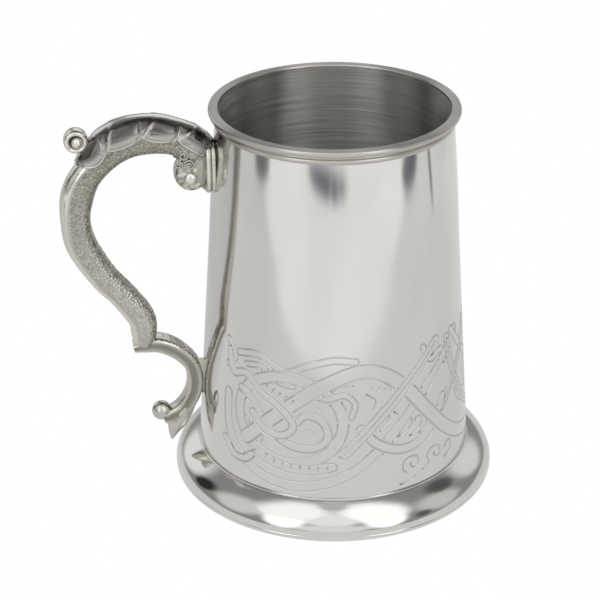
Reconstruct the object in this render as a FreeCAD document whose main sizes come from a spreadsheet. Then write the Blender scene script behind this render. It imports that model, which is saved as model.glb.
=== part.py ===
"""A one-pint pewter tankard with a leaf-capped double-scroll handle, as separate soldered pieces.

Frame: millimetres, +Z up. The origin is on the vessel's own axis, in the plane that the foot stands on.
The handle lies in the XZ plane, towards -X. "Reach" is the distance from the vessel's axis, so it is -X.
Headings in the handle's plane are in degrees: 0 points outwards, away from the vessel, and 90 points up.
"""

import FreeCAD, Part
import math
import os
import Sketcher

doc = FreeCAD.newDocument("Tankard")

# ---------------------------------------------------------------------------------------------------
# Driving dimensions, in millimetres and degrees. Each is one cell of the sheet.
# ---------------------------------------------------------------------------------------------------
DIMENSIONS = [
    # the drum
    ("OverallHeight", 126.0, "from the table to the top of the lip"),
    ("WallThickness", 1.1, "spun sheet of the drum"),
    ("WallFootRadius", 44.3, "outside of the drum where it enters the foot"),
    ("WallTaper", 4.8, "from there in to the outside of the drum where its straight taper ends"),
    ("MouthInset", 3.6, "from there in to the bore of the mouth"),
    ("WallBendDrop", 41.0, "from the lip's top down to the end of the straight taper"),
    ("WallCurve", 900.0, "radius of the wall's inward curve above the straight taper"),
    ("TongueThickness", 0.6, "top of the wall, which the lip ring is sleeved over"),
    # the lip ring
    ("LipOverhang", 2.0, "lip beyond the outside of the wall's top"),
    ("LipCap", 0.9, "lip ring over the top of the wall"),
    ("LipFace", 1.6, "height of the lip's upright edge"),
    ("LipDish", 0.35, "fall of the lip's top from its bore to its edge"),
    ("LipGroove", 1.0, "height of the groove between the lip and the reed"),
    ("LipReed", 1.8, "height of the reed below the lip"),
    ("ReedProud", 0.5, "reed beyond the outside of the wall"),
    # the foot
    ("FootHeight", 11.6, "where the drum leaves the foot"),
    ("FootSpread", 8.1, "widest part of the foot beyond the outside of the drum"),
    ("SkirtEase", 5.0, "how much longer the radius of the skirt's swell is than a quarter round's"),
    ("FootThickness", 1.2, "spun sheet of the foot"),
    ("SocketDepth", 3.0, "length of drum held in the foot's collar"),
    ("CollarBead", 0.5, "bead of the foot round the drum"),
    ("CoveWidth", 0.8, "width of the cove below the bead"),
    ("CoveFall", 0.4, "fall of the cove below the bead"),
    ("CoveRadius", 1.0, "hollow of the cove"),
    ("SkirtEdge", 0.6, "upright edge at the bottom of the skirt"),
    ("LedgeWidth", 4.5, "ledge inside the foot that carries the drum and the floor"),
    ("RingHeight", 2.1, "height of the rest ring below the skirt"),
    ("RingStep", 0.25, "rest ring set back from the edge of the skirt"),
    ("RingWidth", 3.4, "face that the tankard stands on"),
    ("RingUpstand", 1.6, "rest ring standing up inside the skirt"),
    # the floor
    ("FloorThickness", 1.3, "floor of the drum"),
    ("SolderLeg", 1.2, "leg of the solder fillets"),
    # the handle's collar
    ("CollarDrop", 17.6, "from the lip's top down to the middle of the collar"),
    ("CollarHalfHeight", 8.3, "collar on the drum, half its height"),
    ("CollarHalfWidth", 7.0, "collar on the drum, half its width"),
    ("CollarProud", 1.1, "outer face of the collar beyond the drum's straight taper"),
    ("CollarCorner", 5.4, "rounded corners of the collar"),
    ("CollarRounding", 1.2, "rounded edge of the collar's outer face"),
    # the main scroll
    ("ShoulderStandoff", 0.17, "start of the scroll's centre line beyond the drum's straight taper"),
    ("ShoulderDrop", 14.42, "from the lip's top down to the start of the scroll's centre line"),
    ("ScrollRadius", 25.0, "centre line of the scroll's big arc"),
    ("ScrollOuter", 4.6, "from the centre line out to the back of the scroll"),
    ("ScrollInner", 3.9, "from the centre line in to the stippled face"),
    ("ScrollHalfWidth", 4.6, "scroll, half its width"),
    ("ScrollRounding", 2.6, "rounded long edges of the scroll"),
    ("ShoulderHeading", 42.0, "heading of the scroll inside the collar"),
    ("SweepHeading", 126.0, "heading of the scroll's straight run, downwards"),
    ("SweepRun", 17.5, "straight run down to the heel"),
    ("HeelRadius", 15.0, "centre line of the heel"),
    ("HeelTurn", 38.0, "turn of the heel"),
    ("HeelRun", 4.6, "straight end of the heel"),
    # the leaf and its rolled tip
    ("LeafThickness", 3.3, "leaf over the back of the scroll"),
    ("LeafHalfWidth", 5.2, "leaf, half its width"),
    ("LeafRounding", 1.4, "rounded edges of the leaf"),
    ("LeafTurn", 88.0, "turn of the scroll that the leaf covers"),
    ("VoluteTurn", 83.0, "turn of the scroll below the rolled tip"),
    ("VoluteRise", 1.9, "middle of the rolled tip above the leaf"),
    ("VoluteRadius", 3.7, "rolled tip of the leaf"),
    ("VoluteHalfWidth", 2.6, "rolled tip of the leaf, half its width"),
    ("VolutePearl", 1.6, "pearls on the ends of the rolled tip"),
    # the boss under the shoulder
    ("BossStandoff", 5.4, "middle of the rolled inner end beyond the drum's straight taper"),
    ("BossDrop", 19.3, "from the lip's top down to the middle of the rolled inner end"),
    ("BossRadius", 5.7, "rolled inner end of the scroll"),
    ("BossHalfWidth", 4.6, "rolled inner end of the scroll, half its width"),
    ("BossPearl", 2.2, "pearls on the ends of the boss"),
    # the lower scroll
    ("LugFall", 14.7, "from the end of the heel down to the lower scroll's fixing on the drum"),
    ("LugLength", 0.7, "lug between the drum and the lower scroll"),
    ("LugHalfHeight", 6.5, "lug, half its height"),
    ("LugHalfWidth", 2.0, "lug, half its width"),
    ("LowerHalf", 2.6, "lower scroll, half its thickness in the handle's plane"),
    ("LowerHalfWidth", 3.6, "lower scroll, half its width"),
    ("LowerRounding", 1.2, "rounded long edges of the lower scroll"),
    ("UpperArcTurn", 60.0, "turn of the lower scroll from the lug up to its straight start"),
    ("HeelLap", 3.5, "start of the lower scroll inside the end of the heel's centre line"),
    ("HeelCover", 1.2, "start of the lower scroll above the end of the heel's centre line"),
    ("TailArcRadius", 14.0, "centre line of the lower scroll below the lug"),
    ("TailArcTurn", 66.0, "turn of that arc"),
    ("BallRadius", 3.15, "ball finial"),
    ("BallSeat", 0.9, "depth of the ball in the end of the lower scroll"),
    ("TailSpring", 25.0, "turn of the lower scroll where the tail's upper edge leaves it"),
    ("TailRoot", 2.1, "root of the tail, from the centre line of the lower scroll"),
    ("TailDrop", 11.4, "from the end of the lower scroll's centre line down to the tail's tip"),
    ("TailSetBack", 0.8, "tail's tip towards the drum from that end"),
    ("TailHalfWidth", 2.6, "pointed tail, half its width"),
    ("TailSwell", 20.0, "radius of the tail's two curved sides"),
]

sheet = doc.addObject("Spreadsheet::Sheet", "Sizes")
for row, (alias, value, meaning) in enumerate(DIMENSIONS, start=1):
    sheet.set(f"A{row}", meaning)
    sheet.set(f"B{row}", str(value))
    sheet.setAlias(f"B{row}", alias)
doc.recompute()


class Size:
    """A number together with the sheet expression that gives it, so one formula serves both."""

    def __init__(self, value, text):
        self.value = value
        self.text = text

    @staticmethod
    def of(other):
        return other if isinstance(other, Size) else Size(float(other), repr(float(other)))

    def __add__(self, other):
        other = Size.of(other)
        return Size(self.value + other.value, f"({self.text} + {other.text})")

    def __sub__(self, other):
        other = Size.of(other)
        return Size(self.value - other.value, f"({self.text} - {other.text})")

    def __mul__(self, other):
        other = Size.of(other)
        return Size(self.value * other.value, f"{self.text} * {other.text}")

    def __truediv__(self, other):
        other = Size.of(other)
        return Size(self.value / other.value, f"{self.text} / ({other.text})")

    def __neg__(self):
        return Size(-self.value, f"(0 - {self.text})")

    def sin(self):
        return Size(math.sin(math.radians(self.value)), f"sin({self.text})")

    def cos(self):
        return Size(math.cos(math.radians(self.value)), f"cos({self.text})")


ZERO = Size(0.0, "0")
SAME_PLACE = 1e-6
D = {alias: Size(value, f"Sizes.{alias}") for alias, value, meaning in DIMENSIONS}


# ---------------------------------------------------------------------------------------------------
# Sketches and solids
# ---------------------------------------------------------------------------------------------------
def new_body(label):
    body = doc.addObject("PartDesign::Body", label)
    body.Label = label
    return body


def new_sketch(body, name, role):
    plane = next(f for f in body.Origin.OriginFeatures if f.Role == role)
    sketch = body.newObject("Sketcher::SketchObject", name)
    sketch.AttachmentSupport = [(plane, "")]
    sketch.MapMode = "FlatFace"
    return sketch


def bind(feature, name, size):
    """Sets a property of a feature, and ties it to the sheet."""
    setattr(feature, name, size.value)
    feature.setExpression(name, size.text)


def pin(sketch, geometry, end, point):
    """Holds one end of a piece of geometry at a point whose coordinates come from the sheet."""
    for kind, axis, size in (("DistanceX", -2, point[0]), ("DistanceY", -1, point[1])):
        if size is ZERO:
            sketch.addConstraint(Sketcher.Constraint("PointOnObject", geometry, end, axis))
        else:
            constraint = Sketcher.Constraint(kind, -1, 1, geometry, end, size.value)
            number = sketch.addConstraint(constraint)
            sketch.setExpression(f"Constraints[{number}]", size.text)


def arc_geometry(start, end, radius, left):
    """The short arc from start to end. left says that it turns to the left as it is travelled."""
    half = (end - start).Length / 2
    sideways = FreeCAD.Vector(start.y - end.y, end.x - start.x, 0).normalize()
    rise = math.sqrt(max(radius * radius - half * half, 0.0))
    centre = (start + end) / 2 + sideways * (rise if left else -rise)
    first, last = (start, end) if left else (end, start)
    from_angle = math.atan2(first.y - centre.y, first.x - centre.x)
    to_angle = math.atan2(last.y - centre.y, last.x - centre.x)
    if to_angle < from_angle:
        to_angle += 2 * math.pi
    circle = Part.Circle(centre, FreeCAD.Vector(0, 0, 1), radius)
    return Part.ArcOfCircle(circle, from_angle, to_angle)


def draw_outline(sketch, points, arcs):
    """A closed outline through the points. arcs maps a stretch's number to (radius, turns_left)."""
    ends = []
    for i, point in enumerate(points):
        following = points[(i + 1) % len(points)]
        start = FreeCAD.Vector(point[0].value, point[1].value, 0)
        end = FreeCAD.Vector(following[0].value, following[1].value, 0)
        if i in arcs:
            radius, left = arcs[i]
            number = sketch.addGeometry(arc_geometry(start, end, radius.value, left), False)
            constraint = Sketcher.Constraint("Radius", number, radius.value)
            radius_number = sketch.addConstraint(constraint)
            sketch.setExpression(f"Constraints[{radius_number}]", radius.text)
            ends.append((number, 1, 2) if left else (number, 2, 1))
        else:
            number = sketch.addGeometry(Part.LineSegment(start, end), False)
            ends.append((number, 1, 2))
    for i, (number, first, last) in enumerate(ends):
        next_number, next_first, next_last = ends[(i + 1) % len(ends)]
        joint = Sketcher.Constraint("Coincident", number, last, next_number, next_first)
        sketch.addConstraint(joint)
        pin(sketch, number, first, points[i])


def turned(label, points, arcs=None):
    """A ring or disc: a profile in the XZ plane, turned about the vessel's axis."""
    body = new_body(label)
    sketch = new_sketch(body, label + "_profile", "XZ_Plane")
    draw_outline(sketch, points, arcs or {})
    turn = body.newObject("PartDesign::Revolution", label + "_turn")
    turn.Profile = sketch
    turn.ReferenceAxis = (sketch, ["V_Axis"])
    turn.Angle = 360
    return body


def thick_plate(label, points, arcs, half_width, role="XZ_Plane"):
    """A shape with the given outline, as thick on one side of its plane as on the other."""
    body = new_body(label)
    sketch = new_sketch(body, label + "_outline", role)
    draw_outline(sketch, points, arcs)
    pad = body.newObject("PartDesign::Pad", label + "_pad")
    pad.Profile = sketch
    pad.SideType = "Symmetric"
    bind(pad, "Length", half_width * 2)
    return body


def round_long_edges(body, rounding, thickness):
    """Rounds the long edges of a band's two side faces, but not the short edges across its ends."""
    doc.recompute()
    pad = body.Tip
    names = []
    for i, edge in enumerate(pad.Shape.Edges, start=1):
        heights = [vertex.Point.y for vertex in edge.Vertexes]
        in_side_face = max(heights) - min(heights) < SAME_PLACE
        across_end = abs(edge.Length - thickness.value) < SAME_PLACE
        if in_side_face and not across_end:
            names.append(f"Edge{i}")
    fillet = body.newObject("PartDesign::Fillet", body.Label + "_rounding")
    fillet.Base = (pad, names)
    bind(fillet, "Radius", rounding)


def cut(label, base, *tools):
    """What is left of a blank after the pieces that it is fitted to are cut away from it."""
    tool = tools[0]
    if len(tools) > 1:
        tool = doc.addObject("Part::MultiFuse", label + "_fitted_to")
        tool.Shapes = list(tools)
    result = doc.addObject("Part::Cut", label)
    result.Base = base
    result.Tool = tool
    result.Label = label
    return result


# ---------------------------------------------------------------------------------------------------
# Paths in the handle's plane
# ---------------------------------------------------------------------------------------------------
class Station:
    """A point of a path, with the heading there. The path's next stretch starts from it."""

    def __init__(self, reach, height, heading):
        self.reach = reach
        self.height = height
        self.heading = heading

    def straight(self, run):
        reach = self.reach + run * self.heading.cos()
        height = self.height + run * self.heading.sin()
        return Station(reach, height, self.heading)

    def arc(self, radius, turn, left):
        """The station at the end of an arc that turns to the left or to the right."""
        heading = self.heading + turn if left else self.heading - turn
        across = heading.sin() - self.heading.sin()
        along = self.heading.cos() - heading.cos()
        if not left:
            across, along = -across, -along
        return Station(self.reach + radius * across, self.height + radius * along, heading)

    def offset(self, to_left):
        """The sketch point that lies beside the station. A negative distance is to the right."""
        reach = self.reach - to_left * self.heading.sin()
        height = self.height + to_left * self.heading.cos()
        return (-reach, height)


def ribbon(stations, stretches, left_side, right_side):
    """The outline of a band that follows a path. It gives the points and arcs of draw_outline.

    stretches has, for each pair of stations, None for a straight run or (radius, turns_left).
    The sketch's x runs against the reach, so a left turn of the path is a right turn of the sketch.
    """
    points = [station.offset(left_side) for station in stations]
    points += [station.offset(-right_side) for station in reversed(stations)]
    arcs = {}
    last = 2 * len(stations) - 2
    for i, stretch in enumerate(stretches):
        if stretch is None:
            continue
        radius, left = stretch
        inner = radius - (left_side if left else right_side)
        outer = radius + (right_side if left else left_side)
        arcs[i] = (inner if left else outer, not left)
        arcs[last - i] = (outer if left else inner, left)
    return points, arcs


# ---------------------------------------------------------------------------------------------------
# The drum: one spun and soldered wall, straight below and curving in towards the mouth
# ---------------------------------------------------------------------------------------------------
top = D["OverallHeight"]
socket_floor = D["FootHeight"] - D["SocketDepth"]
bend_height = top - D["WallBendDrop"]
bend_radius = D["WallFootRadius"] - D["WallTaper"]
mouth_radius = bend_radius - D["MouthInset"]
lip_bottom = top - D["LipDish"] - D["LipFace"] - D["LipGroove"] - D["LipReed"]
tongue_top = top - D["LipCap"]
tongue_radius = mouth_radius + D["TongueThickness"]
wall_top_radius = mouth_radius + D["WallThickness"]
taper = D["WallTaper"] / (bend_height - D["FootHeight"])


def taper_radius(height):
    """Outside radius of the straight part of the drum."""
    return D["WallFootRadius"] - taper * (height - D["FootHeight"])


drum_wall = turned(
    "drum_wall",
    [
        (taper_radius(socket_floor), socket_floor),
        (bend_radius, bend_height),
        (wall_top_radius, lip_bottom),
        (tongue_radius, lip_bottom),
        (tongue_radius, tongue_top),
        (mouth_radius, tongue_top),
        (mouth_radius, lip_bottom),
        (bend_radius - D["WallThickness"], bend_height),
        (taper_radius(socket_floor) - D["WallThickness"], socket_floor),
    ],
    {1: (D["WallCurve"], True), 6: (D["WallCurve"] - D["WallThickness"], False)},
)

# the space that the drum and its lip fill, for shaping what is soldered on to them
drum_space = turned(
    "drum_space",
    [
        (ZERO, socket_floor),
        (taper_radius(socket_floor), socket_floor),
        (bend_radius, bend_height),
        (wall_top_radius, lip_bottom),
        (wall_top_radius, top),
        (ZERO, top),
    ],
    {2: (D["WallCurve"], True)},
)

# ---------------------------------------------------------------------------------------------------
# The lip ring: a turned moulding sleeved over the wall's tongue
# ---------------------------------------------------------------------------------------------------
lip_edge_top = top - D["LipDish"]
lip_edge_bottom = lip_edge_top - D["LipFace"]
reed_top = lip_edge_bottom - D["LipGroove"]
reed_radius = wall_top_radius + D["ReedProud"]
lip_radius = wall_top_radius + D["LipOverhang"]
lip_ring = turned(
    "lip_ring",
    [
        (tongue_radius, lip_bottom),
        (wall_top_radius, lip_bottom),
        (reed_radius, lip_bottom + D["LipReed"] / 4),
        (reed_radius, reed_top - D["LipReed"] / 4),
        (wall_top_radius, reed_top),
        (wall_top_radius, lip_edge_bottom),
        (lip_radius, lip_edge_bottom),
        (lip_radius, lip_edge_top),
        (mouth_radius, top),
        (mouth_radius, tongue_top),
        (tongue_radius, tongue_top),
    ],
    {6: (D["LipFace"], True)},
)

# ---------------------------------------------------------------------------------------------------
# The foot: a spun skirt with a collar and a ledge for the drum, standing on a turned ring
# ---------------------------------------------------------------------------------------------------
bead_radius = D["WallFootRadius"] + D["CollarBead"]
bead_bottom = D["FootHeight"] - D["CollarBead"]
cove_radius = bead_radius + D["CoveWidth"]
cove_bottom = bead_bottom - D["CoveFall"]
skirt_edge_top = D["RingHeight"] + D["SkirtEdge"]
ledge_radius = taper_radius(socket_floor) - D["LedgeWidth"]
ledge_bottom = socket_floor - D["FootThickness"]
foot_radius = D["WallFootRadius"] + D["FootSpread"]
skirt_bore = foot_radius - D["FootThickness"]


def swell_radius(across, up):
    """The flattened arc from the skirt's edge to a point so far in and up."""
    return (across * across + up * up) / (across * 2) + D["SkirtEase"]


foot_skirt = turned(
    "foot_skirt",
    [
        (D["WallFootRadius"], D["FootHeight"]),
        (taper_radius(socket_floor), socket_floor),
        (ledge_radius, socket_floor),
        (ledge_radius, ledge_bottom),
        (cove_radius - D["FootThickness"], ledge_bottom),
        (skirt_bore, skirt_edge_top),
        (skirt_bore, D["RingHeight"]),
        (foot_radius, D["RingHeight"]),
        (foot_radius, skirt_edge_top),
        (cove_radius, cove_bottom),
        (bead_radius, bead_bottom),
    ],
    {
        4: (swell_radius(foot_radius - cove_radius, ledge_bottom - skirt_edge_top), False),
        8: (swell_radius(foot_radius - cove_radius, cove_bottom - skirt_edge_top), True),
        9: (D["CoveRadius"], False),
        10: (D["CollarBead"], True),
    },
)

ring_radius = foot_radius - D["RingStep"]
ring_bore = ring_radius - D["RingWidth"]
foot_ring = turned(
    "foot_ring",
    [
        (ring_bore, ZERO),
        (ring_radius - D["RingStep"], ZERO),
        (ring_radius, D["RingHeight"] / 2),
        (ring_radius, D["RingHeight"]),
        (skirt_bore, D["RingHeight"]),
        (skirt_bore, D["RingHeight"] + D["SkirtEdge"]),
        (ring_bore, D["RingHeight"] + D["SkirtEdge"]),
    ],
)

# ---------------------------------------------------------------------------------------------------
# The floor, crowned upwards, on the foot's ledge and inside the wall, with its two solder seams
# ---------------------------------------------------------------------------------------------------
floor_top = socket_floor + D["FloorThickness"]
wall_bore_below = taper_radius(socket_floor) - D["WallThickness"]
wall_bore_above = taper_radius(floor_top) - D["WallThickness"]
seam_top = floor_top + D["SolderLeg"]
drum_floor = turned(
    "drum_floor",
    [
        (ZERO, socket_floor),
        (wall_bore_below, socket_floor),
        (wall_bore_above, floor_top),
        (ZERO, floor_top),
    ],
)
floor_seam = turned(
    "floor_seam",
    [
        (wall_bore_above - D["SolderLeg"], floor_top),
        (wall_bore_above, floor_top),
        (taper_radius(seam_top) - D["WallThickness"], seam_top),
    ],
)
foot_seam = turned(
    "foot_seam",
    [
        (ledge_radius, socket_floor),
        (ledge_radius - D["SolderLeg"], socket_floor),
        (ledge_radius, ledge_bottom),
    ],
)

# ---------------------------------------------------------------------------------------------------
# The handle's collar on the drum
# ---------------------------------------------------------------------------------------------------
collar_height = top - D["CollarDrop"]
collar_side = D["CollarHalfWidth"] - D["CollarCorner"]
collar_end = D["CollarHalfHeight"] - D["CollarCorner"]
collar_blank = new_body("handle_collar_blank")
collar_sketch = new_sketch(collar_blank, "collar_outline", "YZ_Plane")
draw_outline(
    collar_sketch,
    [
        (-collar_side, collar_height - D["CollarHalfHeight"]),
        (collar_side, collar_height - D["CollarHalfHeight"]),
        (D["CollarHalfWidth"], collar_height - collar_end),
        (D["CollarHalfWidth"], collar_height + collar_end),
        (collar_side, collar_height + D["CollarHalfHeight"]),
        (-collar_side, collar_height + D["CollarHalfHeight"]),
        (-D["CollarHalfWidth"], collar_height + collar_end),
        (-D["CollarHalfWidth"], collar_height - collar_end),
    ],
    {stretch: (D["CollarCorner"], True) for stretch in (1, 3, 5, 7)},
)
collar_pad = collar_blank.newObject("PartDesign::Pad", "collar_pad")
collar_pad.Profile = collar_sketch
collar_pad.Reversed = True
bind(collar_pad, "Length", bend_radius + D["CollarProud"])
doc.recompute()
outer_face = min(range(len(collar_pad.Shape.Faces)), key=lambda i: collar_pad.Shape.Faces[i].CenterOfMass.x)
collar_rounding = collar_blank.newObject("PartDesign::Fillet", "collar_rounding")
collar_rounding.Base = (collar_pad, [f"Face{outer_face + 1}"])
bind(collar_rounding, "Radius", D["CollarRounding"])
handle_collar = cut("handle_collar", collar_blank, drum_space)

# ---------------------------------------------------------------------------------------------------
# The main scroll: a casting that rises from the collar, goes over and down, and ends in a heel
# ---------------------------------------------------------------------------------------------------
shoulder = Station(
    bend_radius + D["ShoulderStandoff"], top - D["ShoulderDrop"], D["ShoulderHeading"]
)
sweep_start = shoulder.arc(
    D["ScrollRadius"], D["ShoulderHeading"] + D["SweepHeading"], left=False
)
sweep_end = sweep_start.straight(D["SweepRun"])
heel_end = sweep_end.arc(D["HeelRadius"], D["HeelTurn"], left=True)
scroll_end = heel_end.straight(D["HeelRun"])
scroll_points, scroll_arcs = ribbon(
    [shoulder, sweep_start, sweep_end, heel_end, scroll_end],
    [(D["ScrollRadius"], False), None, (D["HeelRadius"], True), None],
    D["ScrollOuter"],
    D["ScrollInner"],
)
scroll_blank = thick_plate("handle_scroll_blank", scroll_points, scroll_arcs, D["ScrollHalfWidth"])
round_long_edges(scroll_blank, D["ScrollRounding"], D["ScrollOuter"] + D["ScrollInner"])
handle_scroll = cut("handle_scroll", scroll_blank, handle_collar, drum_space)

# ---------------------------------------------------------------------------------------------------
# The leaf: a cast cap over the back of the scroll, rolled up at its tip into the thumb volute
# ---------------------------------------------------------------------------------------------------
leaf_tip = shoulder.arc(D["ScrollRadius"], D["LeafTurn"], left=False)
leaf_points, leaf_arcs = ribbon(
    [shoulder, leaf_tip],
    [(D["ScrollRadius"], False)],
    D["ScrollOuter"] + D["LeafThickness"],
    ZERO,
)
leaf_blank = thick_plate("leaf_cap_blank", leaf_points, leaf_arcs, D["LeafHalfWidth"])
round_long_edges(leaf_blank, D["LeafRounding"], D["ScrollOuter"] + D["LeafThickness"])
leaf_cap = cut("leaf_cap", leaf_blank, handle_scroll, handle_collar, drum_space)


def roll(label, reach, height, radius, half_width):
    """A round bar across the handle."""
    bar = doc.addObject("Part::Cylinder", label)
    bar.Label = label
    bind(bar, "Radius", radius)
    bind(bar, "Height", half_width * 2)
    bar.Placement = FreeCAD.Placement(FreeCAD.Vector(), FreeCAD.Rotation(FreeCAD.Vector(1, 0, 0), 90))
    bind_place(bar, -reach, half_width, height)
    return bar


def bind_place(feature, x, y, z):
    """Ties a feature's place to the sheet."""
    feature.Placement.Base = FreeCAD.Vector(x.value, y.value, z.value)
    feature.setExpression("Placement.Base.x", x.text)
    feature.setExpression("Placement.Base.y", y.text)
    feature.setExpression("Placement.Base.z", z.text)


def pearls(label, reach, height, radius, half_width):
    """A half-round pearl on each end of a bar across the handle."""
    halves = []
    for name, side, turn in (("front", -half_width, 90), ("back", half_width, -90)):
        pearl = doc.addObject("Part::Sphere", f"{label}_{name}")
        bind(pearl, "Radius", radius)
        pearl.Angle1 = 0
        pearl.Angle2 = 90
        rotation = FreeCAD.Rotation(FreeCAD.Vector(1, 0, 0), turn)
        pearl.Placement = FreeCAD.Placement(FreeCAD.Vector(), rotation)
        bind_place(pearl, -reach, side, height)
        halves.append(pearl)
    pair = doc.addObject("Part::Compound", label)
    pair.Label = label
    pair.Links = halves
    return pair


tip_of_roll = shoulder.arc(D["ScrollRadius"], D["VoluteTurn"], left=False)
volute_lift = D["ScrollOuter"] + D["LeafThickness"] + D["VoluteRise"]
volute_reach = tip_of_roll.reach - volute_lift * tip_of_roll.heading.sin()
volute_height = tip_of_roll.height + volute_lift * tip_of_roll.heading.cos()
volute_blank = roll(
    "thumb_volute_blank", volute_reach, volute_height, D["VoluteRadius"], D["VoluteHalfWidth"]
)
thumb_volute = cut("thumb_volute", volute_blank, leaf_cap, handle_scroll)
volute_pearls = pearls(
    "volute_pearls", volute_reach, volute_height, D["VolutePearl"], D["VoluteHalfWidth"]
)

# ---------------------------------------------------------------------------------------------------
# The boss: the rolled inner end of the scroll, under the shoulder, with a pearl on each side
# ---------------------------------------------------------------------------------------------------
boss_reach = bend_radius + D["BossStandoff"]
boss_height = top - D["BossDrop"]
boss_blank = roll("upper_boss_blank", boss_reach, boss_height, D["BossRadius"], D["BossHalfWidth"])
upper_boss = cut("upper_boss", boss_blank, handle_collar, handle_scroll, leaf_cap, drum_space)
boss_pearls = pearls("boss_pearls", boss_reach, boss_height, D["BossPearl"], D["BossHalfWidth"])

# ---------------------------------------------------------------------------------------------------
# The lower scroll: a casting from the heel, past its lug on the drum, out to the ball. It hangs from
# the heel, and its upper arc and straight start are as long as the way to the drum needs.
# ---------------------------------------------------------------------------------------------------
straight_down = Size(90.0, "90")
lug_height = scroll_end.height - D["LugFall"]
lug_reach = taper_radius(lug_height) + D["LugLength"] + D["LowerHalf"]
waist = Station(lug_reach, lug_height, -straight_down)
above_waist = Station(lug_reach, lug_height, straight_down)
outwards = scroll_end.reach - D["HeelLap"] - lug_reach
upwards = D["LugFall"] + D["HeelCover"]
upper_turn = D["UpperArcTurn"]
arc_share = Size.of(1.0) - upper_turn.cos()
upper_arc_radius = (upwards * upper_turn.sin() - outwards * upper_turn.cos()) / arc_share
lower_run = outwards * upper_turn.sin() / arc_share - upwards
turned_up = above_waist.arc(upper_arc_radius, upper_turn, left=False)
lower_start = turned_up.straight(lower_run)
lower_end = waist.arc(D["TailArcRadius"], D["TailArcTurn"], left=True)


def reversed_station(station):
    return Station(station.reach, station.height, station.heading - straight_down * 2)


lower_points, lower_arcs = ribbon(
    [reversed_station(lower_start), reversed_station(turned_up), waist, lower_end],
    [None, (upper_arc_radius, True), (D["TailArcRadius"], True)],
    D["LowerHalf"],
    D["LowerHalf"],
)
lower_blank = thick_plate("lower_scroll_blank", lower_points, lower_arcs, D["LowerHalfWidth"])
round_long_edges(lower_blank, D["LowerRounding"], D["LowerHalf"] * 2)

ball_station = lower_end.straight(D["BallRadius"] - D["BallSeat"])
ball_finial = doc.addObject("Part::Sphere", "ball_finial")
ball_finial.Label = "ball_finial"
bind(ball_finial, "Radius", D["BallRadius"])
bind_place(ball_finial, -ball_station.reach, ZERO, ball_station.height)
lower_scroll = cut("lower_scroll", lower_blank, handle_scroll, ball_finial)

# ---------------------------------------------------------------------------------------------------
# The lug that joins the lower scroll to the drum
# ---------------------------------------------------------------------------------------------------
lug_blank = new_body("lower_lug_blank")
lug_sketch = new_sketch(lug_blank, "lug_outline", "YZ_Plane")
draw_outline(
    lug_sketch,
    [
        (-D["LugHalfWidth"], lug_height - D["LugHalfHeight"]),
        (D["LugHalfWidth"], lug_height - D["LugHalfHeight"]),
        (D["LugHalfWidth"], lug_height + D["LugHalfHeight"]),
        (-D["LugHalfWidth"], lug_height + D["LugHalfHeight"]),
    ],
    {},
)
lug_pad = lug_blank.newObject("PartDesign::Pad", "lug_pad")
lug_pad.Profile = lug_sketch
lug_pad.Reversed = True
bind(lug_pad, "Length", lug_reach)
lower_lug = cut("lower_lug", lug_blank, drum_space, lower_scroll)

# ---------------------------------------------------------------------------------------------------
# The pointed tail under the lower scroll
# ---------------------------------------------------------------------------------------------------
tail_spring = waist.arc(D["TailArcRadius"], D["TailSpring"], left=True)
tail_tip = (-(lower_end.reach - D["TailSetBack"]), lower_end.height - D["TailDrop"])
tail_blank = thick_plate(
    "pointed_tail_blank",
    [tail_spring.offset(-D["TailRoot"]), tail_tip, lower_end.offset(-D["TailRoot"])],
    {0: (D["TailSwell"], False), 1: (D["TailSwell"], False)},
    D["TailHalfWidth"],
)
pointed_tail = cut("pointed_tail", tail_blank, lower_scroll, ball_finial)

# ---------------------------------------------------------------------------------------------------
# Checks and files
# ---------------------------------------------------------------------------------------------------
NODES = [
    drum_wall, lip_ring, drum_floor, floor_seam, foot_skirt, foot_ring, foot_seam,
    handle_collar, handle_scroll, leaf_cap, thumb_volute, volute_pearls, upper_boss, boss_pearls,
    lower_scroll, ball_finial, lower_lug, pointed_tail,
]
doc.recompute()
for item in doc.Objects:
    if {"Invalid", "Error"} & set(item.State):
        raise RuntimeError(f"{item.Label} did not build: {item.State}")

os.makedirs("parts", exist_ok=True)
for node in NODES:
    shape = node.Shape
    if shape.isNull() or not shape.isValid() or not shape.Solids:
        raise RuntimeError(f"{node.Label} is not a sound solid")
    shape.exportStep(f"parts/{node.Label}.step")
    print(f"{node.Label:16} {len(shape.Solids)} solid(s) {shape.Volume:10.1f} mm3")
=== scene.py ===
"""A one-pint pewter tankard with an engraved knotwork band and a cast double-scroll handle."""
import math

import bpy
import numpy as np
from mathutils import Euler, Matrix, Vector, noise


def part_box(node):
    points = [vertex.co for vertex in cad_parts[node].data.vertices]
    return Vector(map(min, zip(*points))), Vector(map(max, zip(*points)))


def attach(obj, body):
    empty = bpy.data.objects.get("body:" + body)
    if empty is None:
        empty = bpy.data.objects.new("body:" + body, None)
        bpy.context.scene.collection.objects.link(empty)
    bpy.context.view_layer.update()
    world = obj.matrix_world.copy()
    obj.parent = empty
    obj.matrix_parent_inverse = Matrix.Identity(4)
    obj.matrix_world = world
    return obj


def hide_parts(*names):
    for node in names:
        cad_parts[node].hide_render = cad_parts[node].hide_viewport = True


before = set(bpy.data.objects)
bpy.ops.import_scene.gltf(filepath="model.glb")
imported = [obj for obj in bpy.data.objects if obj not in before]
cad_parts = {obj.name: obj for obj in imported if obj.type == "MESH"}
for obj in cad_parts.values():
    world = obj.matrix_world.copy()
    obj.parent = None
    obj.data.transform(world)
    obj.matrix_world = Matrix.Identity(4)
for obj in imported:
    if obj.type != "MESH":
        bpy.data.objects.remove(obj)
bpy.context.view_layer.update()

MM = 0.001

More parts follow.
